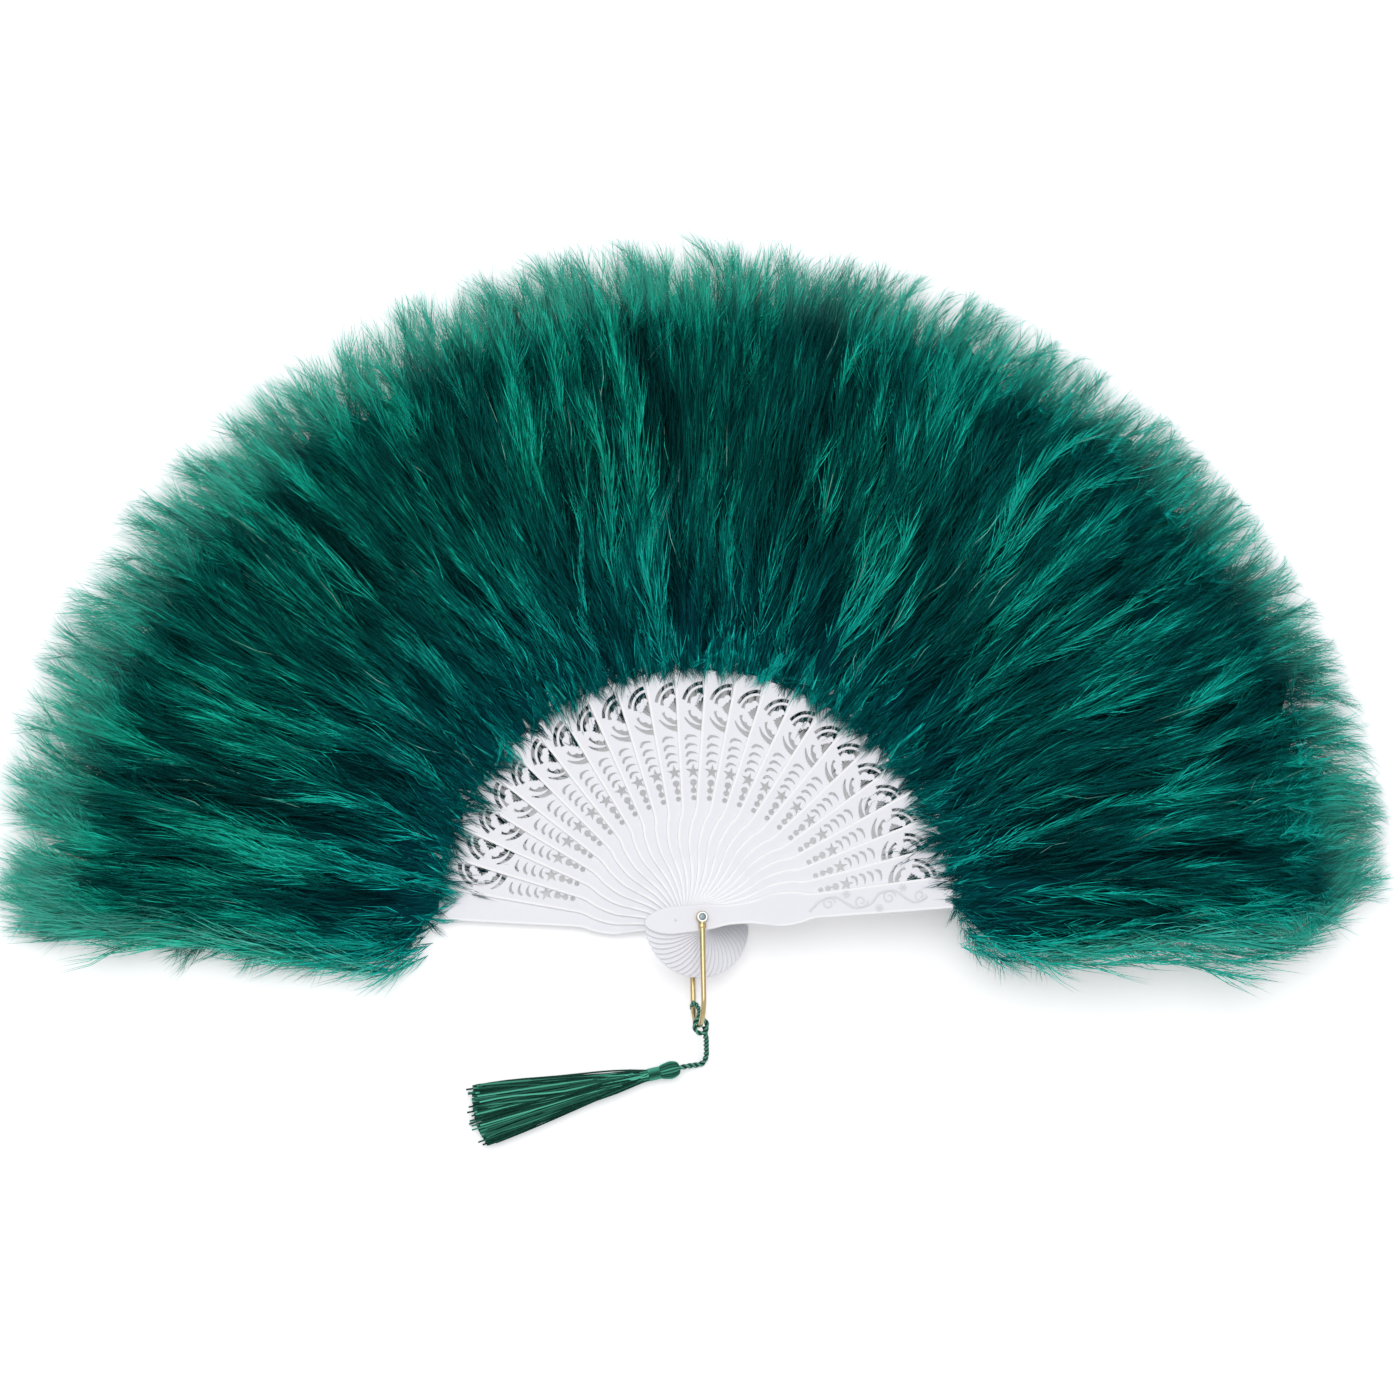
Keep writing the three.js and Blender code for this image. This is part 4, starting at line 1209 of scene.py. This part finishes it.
def barb_object():
    """One barb of unit length: a thin three-sided strand that bends back towards its shaft."""
    points, along = [], []
    for place, radius in BARB_RINGS:
        for angle in 2 * math.pi * np.arange(3) / 3:
            points.append((radius * math.cos(angle) - BARB_BEND * place**2, radius * math.sin(angle), place))
            along.append(place)
    sides = ((0, 1), (1, 2), (2, 0))
    faces = [(a, b, 3 + b, 3 + a) for a, b in sides] + [(3 + a, 3 + b, 6) for a, b in sides] + [(2, 1, 0)]
    mesh = bpy.data.meshes.new("barb")
    mesh.from_pydata([*points, (-BARB_BEND, 0, 1)], [], faces)
    return bpy.data.objects.new("barb", write_values(mesh, "along", [*along, 1]))


def down_tree():
    """Geometry nodes that set barbs along every shaft, wave them, keep them off the table and map them."""
    sizes = ("Barb Share", "Wave Height", "Wave Length", "Table Gap", "Reach Cap", "Pale Depth")
    inputs = {"Shafts": "Geometry", "Barb": "Object", "Seed": "Int", "Down": "Material",
              **dict.fromkeys(sizes, "Float")}
    tree, given = new_tree("marabou down", inputs, "Plume")

    def named(name):
        return made_by(tree, "GeometryNodeInputNamedAttribute", {"Name": name}, data_type="FLOAT")

    def chance(low, high, offset):
        seed = math_of(tree, "ADD", given["Seed"], offset)
        return add_node(tree, "FunctionNodeRandomValue", {2: low, 3: high, "Seed": seed}, data_type="FLOAT").outputs[1]

    def times(first, second):
        return math_of(tree, "MULTIPLY", first, second)

    def turned(rotation, axis, angle):
        turn = made_by(tree, "FunctionNodeAxisAngleToRotation", {"Axis": axis, "Angle": angle})
        return made_by(tree, "FunctionNodeRotateRotation", {"Rotation": rotation, "Rotate By": turn},
                       rotation_space="LOCAL")

    curves = made_by(tree, "GeometryNodeMeshToCurve", {"Mesh": given["Shafts"]})
    spaced = made_by(tree, "GeometryNodeResampleCurve",
                     {"Curve": curves, "Count": times(named("barbs"), given["Barb Share"])})
    points = add_node(tree, "GeometryNodeCurveToPoints", {"Curve": spaced}, mode="EVALUATED").outputs
    pale_hair = math_of(tree, "GREATER_THAN", chance(0.0, 1.0, 1), 1 - PALE_HAIR_CHANCE)
    varied = math_of(tree, "MINIMUM", math_of(tree, "ADD", named("tone"), chance(-0.15, 0.15, 2)), PALE_TONE)
    tone = math_of(tree, "MINIMUM", math_of(tree, "ADD", varied, pale_hair), 0.995)
    toned = stored(tree, points["Points"], "tone", tone)
    along_shaft = made_by(tree, "FunctionNodeAlignRotationToVector", {"Vector": points["Tangent"]}, axis="Z")
    rolled = turned(along_shaft, (0, 0, 1), chance(-math.pi, math.pi, 3))
    leaned = turned(rolled, (0, 1, 0), times(named("splay"), chance(0.6, 1.3, 4)))
    barb = add_node(tree, "GeometryNodeObjectInfo", {"Object": given["Barb"], "As Instance": True}).outputs["Geometry"]
    length = times(named("reach"), chance(0.75, 1.1, 5))
    size = made_by(tree, "ShaderNodeCombineXYZ", {0: named("girth"), 1: named("girth"), 2: length})
    barbs = made_by(tree, "GeometryNodeInstanceOnPoints",
                    {"Points": toned, "Instance": barb, "Rotation": leaned, "Scale": size})
    whole = made_by(tree, "GeometryNodeRealizeInstances", {"Geometry": barbs})
    position = made_by(tree, "GeometryNodeInputPosition")
    waves = add_node(tree, "ShaderNodeTexNoise", {"Vector": position, "Detail": 1.0,
                                                  "Scale": math_of(tree, "DIVIDE", 1.0, given["Wave Length"])})
    centred = made_by(tree, "ShaderNodeVectorMath", {0: waves.outputs["Color"], 1: (0.5, 0.5, 0.5)},
                      operation="SUBTRACT")
    sway = times(math_of(tree, "POWER", named("along"), 1.3), times(given["Wave Height"], 2.0))
    offset = made_by(tree, "ShaderNodeVectorMath", {0: centred, "Scale": sway}, operation="SCALE")
    waved = made_by(tree, "GeometryNodeSetPosition", {"Geometry": whole, "Offset": offset})
    x, y, z = parts_of(tree, position)
    lifted = math_of(tree, "SMOOTH_MAX", z, given["Table Gap"], 0.002)
    capped = math_of(tree, "SMOOTH_MIN", lifted, named("ceiling"), 0.003)
    radius = add_node(tree, "ShaderNodeVectorMath", {0: position}, operation="LENGTH").outputs["Value"]
    share = math_of(tree, "DIVIDE", math_of(tree, "SMOOTH_MIN", radius, given["Reach Cap"], 0.01), radius)
    above = made_by(tree, "ShaderNodeCombineXYZ", {0: times(x, share), 1: times(y, share), 2: capped})
    rested = made_by(tree, "GeometryNodeSetPosition", {"Geometry": waved, "Position": above})
    # Painted light: past each barb's paling radius its tip is mapped to be painted paler.
    past = math_of(tree, "SUBTRACT", radius, named("pale_from"))
    beyond = ranged(tree, past, 0.0, given["Pale Depth"], 0.04, 1.0)
    place = made_by(tree, "ShaderNodeCombineXYZ", {0: named("tone"), 1: times(named("along"), beyond), 2: 0.0})
    return finished_tree(tree, stored(tree, rested, "OFBake", place, "FLOAT2", "CORNER"), given["Down"])


def with_map(mesh, barbs, quill):
    """Maps a plume whose mesh starts with its barbs and ends with its quill. The underdown between them is painted
    dark, as the shade deep inside the dense down, and painted lighter towards the rim and at its inner end, where the
    down is thin and light comes through.
    """
    values = np.zeros(len(barbs.loops) * 2, np.float32)
    barbs.uv_layers["OFBake"].data.foreach_get("uv", values)
    points, corners = np.empty(len(mesh.vertices) * 3), np.empty(len(mesh.loops), int)
    mesh.vertices.foreach_get("co", points)
    mesh.loops.foreach_get("vertex_index", corners)
    radius = np.linalg.norm(points.reshape(-1, 3)[corners], axis=1) / MM
    whole = np.zeros((len(mesh.loops), 2), np.float32)
    # Painted shade and light on the underdown: dark in its depth, lighter at the rim and at its inner end.
    whole[:, 0] = 0.1 + 0.65 * eased((radius - RIM_RADIUS) / RIM_DEPTH) + 0.25 * eased((112 - radius) / 8)
    whole[-len(quill.loops):, 0] = 0.92
    whole = whole.ravel()
    whole[:len(values)] = values
    mesh.uv_layers.new(name="OFBake").data.foreach_set("uv", whole)
    return mesh


def dyed_down():
    """Dyed marabou: matt and soft, deep teal at the roots, with some pale hairs. Its tips and rim are painted paler and
    brighter, and near the blades bluer, as painted light for the light through the thin down.
    """
    material, tree, shader = new_material("dyed marabou down")
    tone, tip, _ = parts_of(tree, made_by(tree, "ShaderNodeUVMap", uv_map="OFBake"))
    coords = add_node(tree, "ShaderNodeTexCoord").outputs["Object"]
    x, y, _ = parts_of(tree, coords)
    radius = add_node(tree, "ShaderNodeVectorMath", {0: coords}, operation="LENGTH").outputs["Value"]
    around = math_of(tree, "MULTIPLY", math_of(tree, "ARCTAN2", y, x), CLUMPS_AROUND)
    outwards = math_of(tree, "MULTIPLY", radius, CLUMPS_OUTWARDS)
    polar = made_by(tree, "ShaderNodeCombineXYZ", {0: around, 1: outwards})
    clumps = made_by(tree, "ShaderNodeTexNoise", {"Vector": polar, "Scale": 1.0, "Detail": 2.0, "Distortion": 0.5})
    varied = math_of(tree, "MULTIPLY_ADD", clumps, CLUMP_CONTRAST, tone)
    centred = math_of(tree, "SUBTRACT", varied, CLUMP_CONTRAST / 2)
    kept = math_of(tree, "MINIMUM", centred, math_of(tree, "MAXIMUM", tone, MOST_TONE))
    dye = add_node(tree, "ShaderNodeValToRGB", {0: kept})
    ramp = dye.color_ramp
    while len(ramp.elements) < len(DYE_STOPS):
        ramp.elements.new(1.0)
    for element, (share, code) in zip(ramp.elements, DYE_STOPS):
        element.position = share
        element.color = linear(code)
    # Painted light near the blades: the colour is turned bluer and lighter there; towards the right it is turned bluer
    # too.
    inner = ranged(tree, radius, *COOL_RADII, 1.0, 0.0, "SMOOTHSTEP")
    end, most = COOL_RIGHT
    cool = math_of(tree, "MAXIMUM", inner, ranged(tree, x, 0.0, end, 0.0, most))
    blued = mixed(tree, cool, dye.outputs[0], COOL_TINT, "MULTIPLY")
    # Painted light: the tips are mixed towards a pale mint.
    amount = math_of(tree, "MULTIPLY", math_of(tree, "POWER", tip, 1.35), 0.95)
    set_inputs(shader, {
        "Base Color": mixed(tree, amount, blued, linear("#7CF2D8")), "Roughness": 0.65,
        "Subsurface Weight": 0.4, "Subsurface Radius": (0.2, 1, 0.8), "Subsurface Scale": 0.4 * MM,
        "Specular IOR Level": 0.015, "Sheen Weight": 0.03, "Sheen Tint": linear("#2FC0A0")})
    return material


rng = np.random.default_rng(PLUME_SEED)
down = dyed_down()
growth = down_tree()
barb = barb_object()
bpy.context.scene.collection.objects.link(barb)
numbers = [f"{i:02d}" for i in range(1, STICK_COUNT + 1)]
plume_nodes = ["back_guard_plume", *(f"plume_{number}" for number in numbers), "front_guard_plume"]
rib_nodes = ["back_guard", *(f"stick_{number}" for number in numbers), "front_guard"]
rib_bodies = ["back_rib", *(f"rib_{number}" for number in numbers), "front_rib"]
barb_share = 1.0
lengths = {"Wave Height": WAVE_HEIGHT * MM, "Wave Length": WAVE_LENGTH * MM, "Table Gap": TABLE_GAP * MM,
           "Pale Depth": PALE_DEPTH * MM}
for order, (node, rib, body) in enumerate(zip(plume_nodes, rib_nodes, rib_bodies)):
    angle = rib_place(order, rib)[0]
    low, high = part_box(rib)
    rib_z = (low[2] + high[2]) / 2 / MM
    free_side = {0: 1, STICK_COUNT + 1: -1}.get(order, 0)
    shafts = feathers_object(rng, rib_z, angle, free_side)
    shafts.data.transform(Matrix.Rotation(angle, 4, "Z"))
    cap = (REACH_CAP + CAP_SHARE * reach_shift(angle)) * MM
    barbs = grown(shafts, growth, {**lengths, "Barb": barb, "Barb Share": barb_share, "Reach Cap": cap,
                                   "Seed": order, "Down": down})
    body_mesh = underdown_mesh(rib_z, angle, free_side)
    body_mesh.transform(Matrix.Rotation(angle, 4, "Z"))
    quill = quill_mesh(rng, rib_z, angle)
    mesh = with_map(joined(node, [barbs, body_mesh, quill]), barbs, quill)
    plume = new_piece(f"down_{node}", mesh, down)
    mesh.shade_smooth()
    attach(plume, body)
    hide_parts(node)
    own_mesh(plume)
bpy.data.objects.remove(barb)
